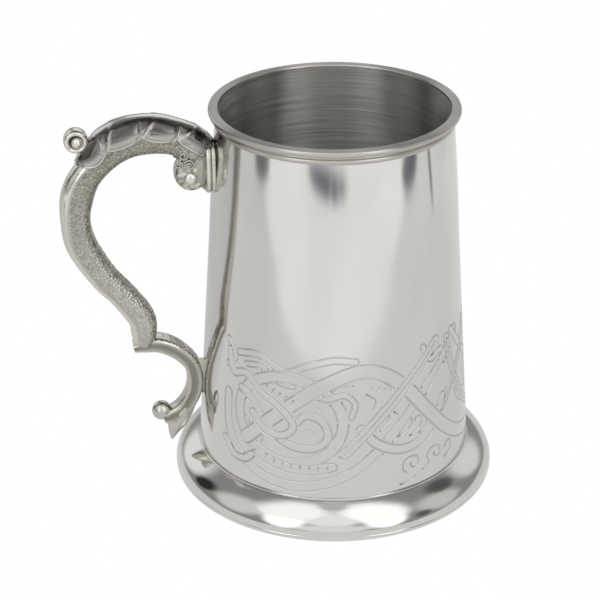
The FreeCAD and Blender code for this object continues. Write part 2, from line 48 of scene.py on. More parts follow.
# ------------------------------
# Camera: a long lens at table distance, a little over the lip, with the handle to the left. It aims a
# little off the tankard's axis, which sets where the tankard stands in the frame.
# ------------------------------
CAMERA_DISTANCE = 634.4 * MM
CAMERA_ELEVATION = 0.4604
CAMERA_AZIMUTH = math.radians(-9.0)
AIM_HEIGHT = 62.9 * MM
LENS = 118.3
AIM_TURN = (0.0171, -0.0060, 0.0048)

back = Vector((0, -math.cos(CAMERA_ELEVATION), math.sin(CAMERA_ELEVATION)))
looking = Euler((math.pi / 2 - CAMERA_ELEVATION, 0, 0)).to_matrix()
looking = looking @ Matrix.Rotation(AIM_TURN[0], 3, "Y") @ Matrix.Rotation(AIM_TURN[1], 3, "X")
looking = looking @ Matrix.Rotation(AIM_TURN[2], 3, "Z")
round_table = Matrix.Rotation(CAMERA_AZIMUTH, 3, "Z")
bpy.ops.object.camera_add(
    location=round_table @ (back * CAMERA_DISTANCE) + Vector((0, 0, AIM_HEIGHT)),
    rotation=(round_table @ looking).to_euler(),
)
camera = bpy.context.object
camera.data.lens = LENS
camera.data.sensor_width = 36
bpy.context.scene.camera = camera

# ------------------------------
# Studio: a pale table in a white surround, with soft lamps and dark gaps between them. They are what
# the polished metal mirrors, and most of them are seen only in it.
# ------------------------------
bpy.context.scene.view_settings.view_transform = "Standard"
bpy.context.scene.view_settings.look = "None"


def glow(sheet, colour, soft=0.0):
    """Makes a card give off its own light. soft lets its rim fade away."""
    material = bpy.data.materials.new(sheet.name)
    material.use_nodes = True
    nodes, links = material.node_tree.nodes, material.node_tree.links
    nodes.clear()
    light = nodes.new("ShaderNodeEmission")
    light.inputs["Color"].default_value = (*colour, 1)
    out = nodes.new("ShaderNodeOutputMaterial")
    links.new(light.outputs["Emission"], out.inputs["Surface"])
    if soft:
        where = nodes.new("ShaderNodeTexCoord")
        double = nodes.new("ShaderNodeMapping")
        double.inputs["Scale"].default_value = (2, 2, 2)
        middle = nodes.new("ShaderNodeTexGradient")
        middle.gradient_type = "SPHERICAL"
        fade = nodes.new("ShaderNodeMapRange")
        fade.interpolation_type = "SMOOTHSTEP"
        fade.inputs["From Max"].default_value = soft
        clear = nodes.new("ShaderNodeBsdfTransparent")
        mix = nodes.new("ShaderNodeMixShader")
        links.new(where.outputs["Object"], double.inputs["Vector"])
        links.new(double.outputs["Vector"], middle.inputs["Vector"])
        links.new(middle.outputs["Fac"], fade.inputs["Value"])
        links.new(fade.outputs["Result"], mix.inputs["Fac"])
        links.new(clear.outputs["BSDF"], mix.inputs[1])
        links.new(light.outputs["Emission"], mix.inputs[2])
        links.new(mix.outputs["Shader"], out.inputs["Surface"])
    sheet.data.materials.clear()
    sheet.data.materials.append(material)
    return light, nodes, links


def card(name, place, size, turn):
    """A flat sheet that stands in the studio."""
    bpy.ops.mesh.primitive_plane_add(size=1, location=place, rotation=turn)
    sheet = bpy.context.object
    sheet.name = name
    sheet.scale = (size[0], size[1], 1)
    return sheet


def around(bearing, distance, height):
    """A place in the studio. Bearing 0 is straight towards the camera, and 90 is to its right."""
    turn = math.radians(bearing) + CAMERA_AZIMUTH
    return (distance * math.sin(turn), -distance * math.cos(turn), height)


def mirrored_only(sheet):
    """A card that is only seen in the metal."""
    sheet.visible_camera = False
    sheet.visible_diffuse = False
    sheet.visible_shadow = False


TABLE_LEVEL, MIRRORED_LEVEL, SHADE_LEVEL = -0.0005, 0.0002, 0.0008
TABLE_SIZE, MIRRORED_SIZE = 8, 6
WHITE = (1.0, 1.0, 1.0)
SURROUND_STRENGTH = 0.30
glow(card("table", (0, 0, TABLE_LEVEL), (TABLE_SIZE, TABLE_SIZE), (0, 0, 0)), WHITE)

# what the drum mirrors: white paper in front, up to a straight edge beside the foot, and a grey
# table-top beyond it that is lighter on the right
mirrored_table = card("mirrored_table", (0, 0, MIRRORED_LEVEL), (MIRRORED_SIZE, MIRRORED_SIZE), (0, 0, 0))
mirrored_only(mirrored_table)
light, nodes, links = glow(mirrored_table, WHITE)
where = nodes.new("ShaderNodeTexCoord")
turned_to_camera = nodes.new("ShaderNodeMapping")
turned_to_camera.inputs["Rotation"].default_value = (0, 0, -CAMERA_AZIMUTH)
turned_to_camera.inputs["Scale"].default_value = (MIRRORED_SIZE, MIRRORED_SIZE, MIRRORED_SIZE)
axes = nodes.new("ShaderNodeSeparateXYZ")
links.new(where.outputs["Object"], turned_to_camera.inputs["Vector"])
links.new(turned_to_camera.outputs["Vector"], axes.inputs["Vector"])


def step(value, first, last, low, high):
    """A soft step from low to high as a value goes from first to last."""
    ramp = nodes.new("ShaderNodeMapRange")
    ramp.interpolation_type = "SMOOTHSTEP"
    for name, number in (("From Min", first), ("From Max", last), ("To Min", low), ("To Max", high)):
        ramp.inputs[name].default_value = number
    links.new(value, ramp.inputs["Value"])
    return ramp


def combine(kind, first, second):
    """Adds or multiplies two values."""
    sum_node = nodes.new("ShaderNodeMath")
    sum_node.operation = kind
    links.new(first, sum_node.inputs[0])
    links.new(second, sum_node.inputs[1])
    return sum_node.outputs["Value"]


PAPER_EDGE = 0.176
before_edge = step(axes.outputs["Y"], -PAPER_EDGE - 0.016, -PAPER_EDGE + 0.012, 1.0, 0.0)
beyond_tankard = step(axes.outputs["Y"], 0.015, 0.04, 0.0, 1.0)
to_the_right = step(axes.outputs["X"], -0.15, 0.15, -0.17, 0.02)
unevenness = nodes.new("ShaderNodeTexNoise")
unevenness.inputs["Scale"].default_value = 4.0
unevenness.inputs["Detail"].default_value = 2.0
links.new(turned_to_camera.outputs["Vector"], unevenness.inputs["Vector"])
paper = step(before_edge.outputs["Result"], 0.0, 1.0, 0.765, 0.995)
rear = combine("MULTIPLY", beyond_tankard.outputs["Result"], to_the_right.outputs["Result"])
patchy = step(unevenness.outputs["Fac"], 0.3, 0.7, -0.05, 0.05)
total = combine("ADD", combine("ADD", paper.outputs["Result"], rear), patchy.outputs["Result"])
links.new(total, light.inputs["Strength"])

# things on the table and in the room, out of focus: a dark stand in front, and others to the sides
for name, bearing, distance, size, turn, tone in [
    ("stand_across", -7, 0.50, (0.40, 0.14), 6, (0.03, 0.04, 0.08)),
    ("stand_foot", 0, 0.465, (0.07, 0.08), 0, (0.06, 0.07, 0.12)),
    ("thing_right", 71, 0.48, (0.20, 0.16), 30, (0.11, 0.115, 0.14)),
    ("post_right", 95, 0.44, (0.30, 0.03), 0, (0.22, 0.22, 0.22)),
    ("thing_left", -68, 0.50, (0.18, 0.18), -30, (0.09, 0.09, 0.085)),
]:
    place = around(bearing, distance, SHADE_LEVEL)
    shade = card(name, place, size, (0, 0, math.radians(turn) + CAMERA_AZIMUTH))
    mirrored_only(shade)
    glow(shade, tone, 0.4)

world = bpy.data.worlds.new("surround")
bpy.context.scene.world = world
world.use_nodes = True
world.node_tree.nodes["Background"].inputs["Color"].default_value = (1, 1, 1, 1)
world.node_tree.nodes["Background"].inputs["Strength"].default_value = SURROUND_STRENGTH

# the room as the metal sees it: soft lamps, and dark gaps between them. The first letters of a
# card's name say how far off it stands.
HOW_FAR = {"dark": 1.5, "lamp": 1.8, "sky_": 2.2}
for name, bearing, elevation, size, tone in [
    ("sky_front", 0, 56, (4.0, 3.0), (0.62, 0.62, 0.62)),
    ("lamp_front", 0, 14, (2.4, 1.2), (0.92, 0.92, 0.92)),
    ("lamp_front_left", -35, 27, (1.1, 2.0), (1.75, 1.75, 1.75)),
    ("lamp_front_right", 38, 27, (1.1, 2.0), (1.85, 1.85, 1.85)),
    ("lamp_over_front", 0, 44, (1.4, 2.0), (1.05, 1.05, 1.05)),
    ("lamp_top", 0, 82, (0.5, 0.8), (0.6, 0.6, 0.6)),
    ("lamp_top_left", -42, 54, (1.5, 2.4), (1.30, 1.30, 1.30)),
    ("lamp_top_right", 42, 53, (1.4, 2.4), (1.45, 1.45, 1.45)),
    ("lamp_side_left", -74, 30, (1.5, 2.0), (0.78, 0.78, 0.79)),
    ("lamp_rear_left", -134, 22, (1.5, 1.6), (0.95, 0.95, 0.96)),
    ("lamp_side_right", 84, 26, (1.3, 1.9), (0.70, 0.70, 0.70)),
    ("lamp_far_right", 132, 26, (1.3, 1.4), (0.85, 0.85, 0.85)),
    ("lamp_behind", 178, 28, (1.6, 1.2), (0.95, 0.95, 0.96)),
    ("dark_overhead", 180, 68, (1.5, 0.9), (0.10, 0.10, 0.10)),
    ("dark_right", 64, 14, (0.42, 0.55), (0.10, 0.10, 0.11)),
    ("dark_high_right", 108, 44, (0.55, 0.6), (0.10, 0.10, 0.10)),
    ("dark_left", -105, 20, (0.55, 1.0), (0.03, 0.03, 0.03)),
]:
    distance = HOW_FAR[name[:4]]
    level = math.radians(elevation)
    place = Vector(around(bearing, distance * math.cos(level), distance * math.sin(level)))
    sheet = card(name, place, size, (-place).to_track_quat("Z", "Y").to_euler())
    mirrored_only(sheet)
    glow(sheet, tone, 0.5)

# ------------------------------
# Drum: pewter sheet, spun to a taper that curves in under the lip, and polished outside. The inside
# is left satin from the lathe. The band is engraved into it by hand.
# ------------------------------
lip_low, lip_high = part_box("lip_ring")
wall_low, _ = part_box("drum_wall")
foot_low, foot_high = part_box("foot_skirt")
TOP = lip_high[2] / MM
JOINT_HEIGHT = foot_high[2] / MM
WALL = 1.1
JOINT_RADIUS = 44.3
BEND_RADIUS = 39.5
BEND_HEIGHT = TOP - 41.0
LIP_BOTTOM = lip_low[2] / MM
MOUTH_RADIUS = 35.9
WALL_CURVE = 900.0
TAPER = (JOINT_RADIUS - BEND_RADIUS) / (BEND_HEIGHT - JOINT_HEIGHT)
chord_half = math.hypot(LIP_BOTTOM - BEND_HEIGHT, BEND_RADIUS - MOUTH_RADIUS - WALL) / 2
WALL_SAG = WALL_CURVE - math.sqrt(WALL_CURVE**2 - chord_half**2)


def new_material(name, colour, metallic, roughness):
    """A material with plain values on its sockets. Patterns may drive them later."""
    material = bpy.data.materials.new(name)
    material.use_nodes = True
    shader = material.node_tree.nodes["Principled BSDF"]
    shader.inputs["Base Color"].default_value = (*colour, 1)
    shader.inputs["Metallic"].default_value = metallic
    shader.inputs["Roughness"].default_value = roughness
    return material, material.node_tree.nodes, material.node_tree.links, shader


def add_waves(material, scale, stretch, strength, depth, detail=2.0):
    """A faint unevenness, as hand work leaves it. A small stretch makes it long that way."""
    nodes, links = material.node_tree.nodes, material.node_tree.links
    where = nodes.new("ShaderNodeTexCoord")
    place = nodes.new("ShaderNodeMapping")
    place.inputs["Scale"].default_value = stretch
    waves = nodes.new("ShaderNodeTexNoise")
    waves.inputs["Scale"].default_value = scale
    waves.inputs["Detail"].default_value = detail
    bump = nodes.new("ShaderNodeBump")
    bump.inputs["Strength"].default_value = strength
    bump.inputs["Distance"].default_value = depth
    links.new(where.outputs["Object"], place.inputs["Vector"])
    links.new(place.outputs["Vector"], waves.inputs["Vector"])
    links.new(waves.outputs["Fac"], bump.inputs["Height"])
    shader = nodes["Principled BSDF"]
    if shader.inputs["Normal"].is_linked:
        links.new(shader.inputs["Normal"].links[0].from_socket, bump.inputs["Normal"])
    links.new(bump.outputs["Normal"], shader.inputs["Normal"])
    return waves


def vary(material, socket, source, low, high):
    """Runs a shader socket between two values with a pattern."""
    nodes, links = material.node_tree.nodes, material.node_tree.links
    limits = nodes.new("ShaderNodeMapRange")
    limits.inputs["From Min"].default_value = 0.3
    limits.inputs["From Max"].default_value = 0.7
    limits.inputs["To Min"].default_value = low
    limits.inputs["To Max"].default_value = high
    links.new(source.outputs["Fac"], limits.inputs["Value"])
    links.new(limits.outputs["Result"], nodes["Principled BSDF"].inputs[socket])


polished, nodes, links, shader = new_material("polished pewter", (0.70, 0.69, 0.665), 1.0, 0.10)
slow = add_waves(polished, 28, (1, 1, 0.45), 0.25, 0.0012)
add_waves(polished, 1500, (1, 1, 0.08), 0.04, 0.00002)
vary(polished, "Roughness", slow, 0.07, 0.16)

satin, nodes, links, shader = new_material("satin turned pewter", (0.74, 0.73, 0.685), 1.0, 0.6)
shader.inputs["Anisotropic"].default_value = 1.0
shader.inputs["Anisotropic Rotation"].default_value = 0.25
grain_way = nodes.new("ShaderNodeTangent")
grain_way.direction_type = "RADIAL"
grain_way.axis = "Z"
links.new(grain_way.outputs["Tangent"], shader.inputs["Tangent"])
lines = add_waves(satin, 260, (0.12, 0.12, 9), 0.35, 0.00006, 4)
vary(satin, "Roughness", lines, 0.36, 0.50)
tool_marks = nodes.new("ShaderNodeMix")
tool_marks.data_type = "RGBA"
tool_marks.inputs["A"].default_value = (0.27, 0.264, 0.241, 1)
tool_marks.inputs["B"].default_value = (0.72, 0.71, 0.665, 1)
links.new(lines.outputs["Fac"], tool_marks.inputs["Factor"])
links.new(tool_marks.outputs["Result"], shader.inputs["Base Color"])

# the engraved cuts get a darker, rougher pewter; the darker colour is painted shade in the grooves
groove_shade, nodes, links, shader = new_material("painted shade in the engraving", (0.56, 0.55, 0.51), 1.0, 0.42)
specks = add_waves(groove_shade, 2600, (1, 1, 1), 0.3, 0.00005)
vary(groove_shade, "Roughness", specks, 0.28, 0.45)


def only(piece):
    """Selects one piece by itself."""
    bpy.ops.object.select_all(action="DESELECT")
    piece.select_set(True)
    bpy.context.view_layer.objects.active = piece


def close_up(piece, merge=True):
    """Turns every face outward. merge first joins the corners that meet."""
    only(piece)
    bpy.ops.object.mode_set(mode="EDIT")
    bpy.ops.mesh.select_all(action="SELECT")
    if merge:
        bpy.ops.mesh.remove_doubles(threshold=1e-6)
    bpy.ops.mesh.normals_make_consistent(inside=False)
    bpy.ops.object.mode_set(mode="OBJECT")


STEPS_ROUND = 256
TURNED_EDGE = math.radians(32)


def turned(name, outline):
    """Spins a closed outline of (radius, height) about the vessel's axis."""
    mesh = bpy.data.meshes.new(name)
    corners = [(radius * MM, 0, height * MM) for radius, height in outline]
    sides = [(i, (i + 1) % len(corners)) for i in range(len(corners))]
    mesh.from_pydata(corners, sides, [])
    piece = bpy.data.objects.new(name, mesh)
    bpy.context.collection.objects.link(piece)
    only(piece)
    bpy.ops.object.mode_set(mode="EDIT")
    bpy.ops.mesh.select_all(action="SELECT")
    bpy.ops.mesh.spin(steps=STEPS_ROUND, angle=2 * math.pi, center=(0, 0, 0), axis=(0, 0, 1))
    bpy.ops.object.mode_set(mode="OBJECT")
    close_up(piece)
    bpy.ops.object.shade_smooth_by_angle(angle=TURNED_EDGE)
    return piece


def wall_radius(height):
    """Outside radius of the drum, straight below the bend and curving in above it."""
    if height <= BEND_HEIGHT:
        return BEND_RADIUS + TAPER * (BEND_HEIGHT - height)
    share = (height - BEND_HEIGHT) / (LIP_BOTTOM - BEND_HEIGHT)
    straight = BEND_RADIUS + (MOUTH_RADIUS + WALL - BEND_RADIUS) * share
    return straight + 4 * WALL_SAG * share * (1 - share)


SOCKET = wall_low[2] / MM
outer = [(wall_radius(z), z) for z in np.linspace(SOCKET, BEND_HEIGHT, 12)]
outer += [(wall_radius(z), z) for z in np.linspace(BEND_HEIGHT, LIP_BOTTOM, 14)[1:]]
wall_outline = outer + [(MOUTH_RADIUS + 0.6, LIP_BOTTOM), (MOUTH_RADIUS + 0.6, TOP - 0.9)]
wall_outline += [(MOUTH_RADIUS, TOP - 0.9)]
wall_outline += [(radius - WALL, z) for radius, z in reversed(outer)]
drum = turned("drum", wall_outline)
drum.data.materials.append(polished)
drum.data.materials.append(satin)
for face in drum.data.polygons:
    flat = math.hypot(face.center.x, face.center.y)
    outward = (face.normal.x * face.center.x + face.normal.y * face.center.y) / flat
    face.material_index = 0 if outward > 0 and face.center.z < LIP_BOTTOM * MM else 1


def wall_point(degrees_right, height, proud=0.0):
    """A point on the drum, by its angle to the right of the front and its height."""
    turn = math.radians(degrees_right) + CAMERA_AZIMUTH
    radius = (wall_radius(height) + proud) * MM
    return Vector((radius * math.sin(turn), -radius * math.cos(turn), height * MM))


# The knotwork is drawn flat, in millimetres: how far round the wall, and how high.
ROUND = 42.2
PATTERN_STEP = 112.0


def flowing(points, closed=False, step=0.7):
    """A smooth line through a few points, as a pen draws it."""
    knots = np.array(points, float)
    if closed:
        knots = np.vstack([knots[-1:], knots, knots[:2]])
    else:
        knots = np.vstack([2 * knots[0] - knots[1], knots, 2 * knots[-1] - knots[-2]])
    line = []
    for p0, p1, p2, p3 in zip(knots, knots[1:], knots[2:], knots[3:]):
        count = max(3, int(np.linalg.norm(p2 - p1) / step))
        for i in range(count):
            u = i / count
            line.append(
                0.5 * (2 * p1 + (p2 - p0) * u + (2 * p0 - 5 * p1 + 4 * p2 - p3) * u**2
                       + (3 * p1 - p0 - 3 * p2 + p3) * u**3)
            )
    if not closed:
        line.append(knots[-2])
    return np.array(line)


def ring_points(centre, across, up, count=14):
    """Points round an oval, for a strap that closes on itself."""
    angles = [2 * math.pi * i / count for i in range(count)]
    return [(centre[0] + across * math.cos(a), centre[1] + up * math.sin(a)) for a in angles]


# strap: (points, width, layer, closed, midline). A strap passes over the straps of lower layers.
STRAPS = [
    (ring_points((-14.5, 37.0), 17.6, 14.6), 3.6, 3, True, False),
    ([(-29, 27.5), (-20, 36.5), (-10, 45.2), (0, 51.6), (8.5, 54.4), (16.5, 52.4), (24.8, 45.4),
      (32, 36.5), (40, 27.5), (49, 21), (60, 18.5), (68, 19)], 4.4, 4, False, False),
    ([(-37.5, 40), (-37, 30), (-33, 22.5), (-24.5, 16.6), (-12, 14.6), (0, 17.2), (10, 23), (18.5, 31),
      (26, 38.6), (34, 46), (42, 52.5), (49, 57.5)], 3.4, 2, False, False),
    ([(3.5, 26.5), (12, 35.3), (21, 44.0), (29, 51.2), (37, 58.4)], 3.4, 5, False, True),
    ([(8.6, 35), (14, 29.2), (21.5, 25.8), (29.5, 26.6), (36, 31.5), (40, 38)], 3.0, 3.5, False, False),
    ([(43, 57), (46, 46), (51, 36), (59, 27), (68, 24)], 3.0, 2, False, True),
    ([(62, 58), (54.5, 49), (46, 41), (39, 34)], 3.0, 3, False, True),
    ([(-31.5, 44), (-26, 40), (-21, 33.5), (-13.5, 28.6), (-6, 28.4), (-1.5, 32.5), (-3.5, 38), (-8.5, 39.5),
      (-12, 36)], 2.6, 3.2, False, False),
    ([(-37.5, 55), (-35.5, 48), (-30, 49.3), (-24, 44.4), (-17, 40.8), (-12.5, 35.6), (-16, 31.6),
      (-22, 32.2), (-27, 37)], 2.4, 5, False, False),
    ([(-33, 55.5), (-25, 57), (-16, 53.4), (-8, 56.4), (0, 58.6), (7, 58.0)], 2.2, 1, False, False),
    ([(-30, 52.6), (-24, 53.4), (-18, 49.6), (-12.5, 48.6)], 1.8, 1.2, False, False),
    ([(-24, 23.2), (-16, 21.0), (-8, 20.6), (0, 22.2)], 3.2, 6, False, False),
    ([(-38.6, 23.5), (-34.5, 19.6), (-29.5, 19.6), (-26.5, 22.2)], 2.4, 5.5, False, False),
    ([(31, 58), (34.5, 53), (39.5, 54.5), (41.5, 50)], 2.2, 1.5, False, False),
    ([(58, 34), (63, 41), (67, 50), (70, 57)], 3.0, 2.6, False, False),
    ([(-38.4, 58.2), (-34.6, 53.4), (-38.2, 49.6)], 2.0, 0.8, False, False),
    ([(46, 58.6), (52, 51.5), (58.5, 45.5), (65, 41), (71, 38.5)], 2.4, 2.2, False, False),
    ([(50, 43.5), (54, 50.5), (57, 58)], 2.0, 1.6, False, False),
    ([(-7, 47.2), (-2, 45.4), (3.5, 46.8), (6.8, 43.6), (5.6, 39.2)], 2.0, 3.8, False, False),
]

# single cuts: curls, leaf veins and short ticks
CUTS = [
    [(14.5, 33.5), (17.5, 36.8), (17.9, 40.4), (15.6, 41.8), (13.8, 39.8)],
    [(17.2, 31.5), (20.7, 34), (21.6, 37.4), (19.2, 39.4)],
    [(20.6, 30.2), (24.6, 32.2), (25.9, 35.4), (23.6, 37.8), (21.9, 36.1)],
    [(24.6, 29.4), (28.4, 31.0), (29.8, 33.8), (28.2, 35.6), (26.7, 33.9)],
    [(28.4, 29.2), (31.2, 30.8), (32.2, 33.2)],
    [(37.6, 47.5), (38.6, 51.2)],
    [(24.4, 16.2), (22.2, 18.4), (23.6, 21.6), (27.2, 21.6), (28, 18.8), (25.8, 18.0), (24.9, 19.8)],
    [(29.5, 15.8), (32.5, 17.2), (31.5, 20), (34, 22.2), (37.5, 21), (37.3, 18.4), (35.0, 18.2),
     (34.6, 20.0)],
    [(39.4, 16.0), (42.8, 17.2), (43.6, 20), (41.2, 21), (40.2, 19.2)],
    [(21.0, 13.2), (24.4, 13.6), (27.2, 14.6)],
    [(-16.5, 44.2), (-13.6, 45.2), (-11.6, 43.2), (-13.2, 41.2), (-15.4, 42.0)],
    [(-26.4, 29.6), (-23.6, 30.6), (-22.4, 28.4), (-24.4, 26.6)],
    [(-29.6, 35.0), (-27.6, 33.2), (-28.6, 31.0)],
    [(-10.4, 33.6), (-7.4, 34.8), (-5.4, 33.4)],
    [(-9.2, 25.6), (-5.2, 25.2), (-1.6, 27.2)],
    [(10.2, 47.0), (13.4, 44.4), (12.8, 41.4)],
    [(6.4, 50.2), (2.5, 49.6), (-1.0, 47.8)],
    [(52.5, 30), (49, 33), (47.5, 37)],
    [(56, 38), (56.5, 43), (59.5, 46.5)],
    [(-36.4, 35.4), (-38.4, 33.0), (-38.0, 28.8)],
]
for tick in range(8):
    along = -21.6 + 2.8 * tick
    level = 20.9 + 0.014 * (along + 9) ** 2
    CUTS.append([(along, level - 1.0), (along + 0.4, level + 1.0)])
for tick in range(6):
    CUTS.append([(11.5 + 2.3 * tick, 47.6 - 0.2 * tick), (12.1 + 2.3 * tick, 49.2 - 0.5 * tick)])
for tick in range(5):
    CUTS.append([(-22.4 + 2.2 * tick, 46.4 - 0.9 * tick), (-21.2 + 2.2 * tick, 48.0 - 0.9 * tick)])


def strap_edges(line, width, closed):
    """The outline of a strap of that width along a line. An open strap has round ends."""
    ahead = np.roll(line, -1, axis=0) - np.roll(line, 1, axis=0)
    if not closed:
        ahead[0] = line[1] - line[0]
        ahead[-1] = line[-1] - line[-2]
    ahead /= np.linalg.norm(ahead, axis=1)[:, None]
    side = np.stack([-ahead[:, 1], ahead[:, 0]], axis=1)
    left, right = line + side * width / 2, line - side * width / 2
    if closed:
        return [np.vstack([left, left[:1]]), np.vstack([right, right[:1]])]
    first, last = [], []
    for i in range(1, 6):
        angle = math.pi * i / 6
        last.append(line[-1] + (side[-1] * math.cos(angle) + ahead[-1] * math.sin(angle)) * width / 2)
        first.append(line[0] + (-side[0] * math.cos(angle) - ahead[0] * math.sin(angle)) * width / 2)
    return [np.vstack([left, last, right[::-1], first, left[:1]])]


CLEAR_OF_STRAP = 0.15


def visible_runs(edge, layer, centres):
    """Breaks an edge where a strap of a higher layer lies over it."""
    hidden = np.zeros(len(edge), bool)
    for line, width, other in centres:
        if other > layer:
            gaps = np.linalg.norm(edge[:, None, :] - line[None, :, :], axis=2).min(axis=1)
            hidden |= gaps < width / 2 + CLEAR_OF_STRAP
    runs, run = [], []
    for point, gone in zip(edge, hidden):
        if gone:
            if len(run) > 2:
                runs.append(np.array(run))
            run = []
        else:
            run.append(point)
    if len(run) > 2:
        runs.append(np.array(run))
    return runs


centres, strokes = [], []
for points, width, layer, closed, _ in STRAPS:
    centres.append((flowing(points, closed), width, layer))
for (line, width, layer), (_, _, _, closed, midline) in zip(centres, STRAPS):
    edges = strap_edges(line, width, closed)
    if midline:
        edges.append(line)
    for edge in edges:
        strokes += visible_runs(edge, layer, centres)
for points in CUTS:
    line = flowing(points)
    strokes += visible_runs(line, 0.5, centres) if len(points) > 2 else [line]

GROOVE = 0.42
GROOVE_STANDOFF = 0.22
STROKE_SPACING = 0.9
APART = 1.3


def tubes(name, lines, radius, fineness):
    """Round tubes along lines of points, as one mesh."""
    curve = bpy.data.curves.new(name, "CURVE")
    curve.dimensions = "3D"
    curve.bevel_depth = radius * MM
    curve.bevel_resolution = fineness
    curve.use_fill_caps = True
    for line in lines:
        spline = curve.splines.new("POLY")
        spline.points.add(len(line) - 1)
        for knot, point in zip(spline.points, line):
            knot.co = (*point, 1)
    made = bpy.data.objects.new(name, curve)
    bpy.context.collection.objects.link(made)
    only(made)
    bpy.ops.object.convert(target="MESH")
    return bpy.context.object


def graver(name, lines):
    """Tubes along lines on the wall. What they cut away is the engraving."""
    paths = [
        [wall_point(math.degrees(along / ROUND), height, GROOVE_STANDOFF) for along, height in line]
        for line in lines
    ]
    cutter = tubes(name, paths, GROOVE, 1)
    close_up(cutter)
    return cutter


def thinned(line, spacing):
    """Leaves out points of a line that come closer than that."""
    keep = [line[0]]
    for point in line[1:-1]:
        if np.linalg.norm(point - keep[-1]) >= spacing:
            keep.append(point)
    return np.array(keep + [line[-1]])


# lines that come near each other are cut one after the other, so no cutter overlaps itself
batches = []
for stroke in strokes:
    stroke = thinned(stroke, STROKE_SPACING)
    if len(stroke) > 3 and np.linalg.norm(stroke[0] - stroke[-1]) < 0.8:
        half = len(stroke) // 2
        parts = [stroke[: half + 1], stroke[half:-1]]
    else:
        parts = [stroke]
    for part in parts:
        for batch in batches:
            near = min(
                np.linalg.norm(part[:, None, :] - other[None, :, :], axis=2).min() for other in batch
            )
            if near > APART:
                batch.append(part)
                break
        else:
            batches.append([part])

for number, batch in enumerate(batches):
    lines = batch + [line + np.array([PATTERN_STEP, 0]) for line in batch]
    cutter = graver(f"graver_{number}", lines)
    # the cut faces take the groove material, painted shade in the engraving
    cutter.data.materials.append(groove_shade)
    cut = drum.modifiers.new("engrave", "BOOLEAN")
    cut.operation = "DIFFERENCE"
    cut.solver = "MANIFOLD"
    cut.object = cutter
    cut.material_mode = "TRANSFER"
    only(drum)
    bpy.ops.object.modifier_apply(modifier=cut.name)
    bpy.data.objects.remove(cutter)

# the metal between the cuts keeps the true curve of the turned wall
ENGRAVED = 2
ON_THE_WALL = 0.97
corner_normals = [Vector(corner.vector) for corner in drum.data.corner_normals]
for face in drum.data.polygons:
    if face.material_index == ENGRAVED:
        continue
    for loop in face.loop_indices:
        place = drum.data.vertices[drum.data.loops[loop].vertex_index].co
        height = place.z / MM
        slope = wall_radius(height + 0.5) - wall_radius(height - 0.5)
        away = Vector((place.x, place.y, -slope * math.hypot(place.x, place.y))).normalized()
        if face.normal.dot(away) > ON_THE_WALL:
            corner_normals[loop] = away
        elif face.normal.dot(away) < -ON_THE_WALL:
            corner_normals[loop] = -away
drum.data.normals_split_custom_set(corner_normals)

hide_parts("drum_wall")
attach(drum, "root")

# ------------------------------
# Lip ring: a turned pewter moulding with a satin face, a groove and a reed. It is sleeved over the
# top of the wall and burnished down.
# ------------------------------
TONGUE = MOUTH_RADIUS + 0.6


def bowed(start, end, sag, count):
    """Points of an arc from start towards end. A positive sag bulges to the left of the way there."""
    (x0, y0), (x1, y1) = start, end
    half = math.hypot(x1 - x0, y1 - y0) / 2
    radius = (half * half + sag * sag) / (2 * abs(sag))
    side = 1 if sag > 0 else -1
    nx, ny = -(y1 - y0) / (2 * half) * side, (x1 - x0) / (2 * half) * side
    mx, my = (x0 + x1) / 2, (y0 + y1) / 2
    cx, cy = mx + nx * (abs(sag) - radius), my + ny * (abs(sag) - radius)
    start_angle = math.atan2(y0 - cy, x0 - cx)
    sweep = math.atan2(y1 - cy, x1 - cx) - start_angle
    sweep = (sweep + math.pi) % (2 * math.pi) - math.pi
    points = []
    for i in range(count):
        angle = start_angle + sweep * i / count
        points.append((cx + radius * math.cos(angle), cy + radius * math.sin(angle)))
    return points


lip_outline = [(TONGUE, LIP_BOTTOM), (MOUTH_RADIUS + WALL, LIP_BOTTOM)]
lip_outline += bowed((37.2, LIP_BOTTOM + 0.1), (37.2, TOP - 3.0), -0.42, 8)
lip_outline += [(37.15, TOP - 3.0), (37.0, TOP - 2.75), (37.0, TOP - 2.35), (37.3, TOP - 2.05)]
lip_outline += [(38.2, TOP - 1.98)]
lip_outline += bowed((38.5, TOP - 1.95), (38.95, TOP - 0.45), -0.30, 8)
lip_outline += bowed((38.95, TOP - 0.45), (38.45, TOP - 0.12), -0.12, 4)
lip_outline += [(38.4, TOP - 0.1), (36.4, TOP)]
lip_outline += bowed((36.4, TOP), (MOUTH_RADIUS, TOP - 0.4), -0.12, 5)
lip_outline += [(MOUTH_RADIUS, TOP - 0.9), (TONGUE, TOP - 0.9)]
brushed, nodes, links, shader = new_material("brushed pewter", (0.50, 0.485, 0.445), 1.0, 0.28)
turning = add_waves(brushed, 300, (0.02, 0.02, 12), 0.3, 0.00005, 3)
vary(brushed, "Roughness", turning, 0.2, 0.34)
lip = turned("lip", lip_outline)
lip.data.materials.append(brushed)
lip.data.materials.append(satin)
for face in lip.data.polygons:
    face.material_index = 1 if face.normal.z > 0.9 else 0
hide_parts("lip_ring")
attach(lip, "root")

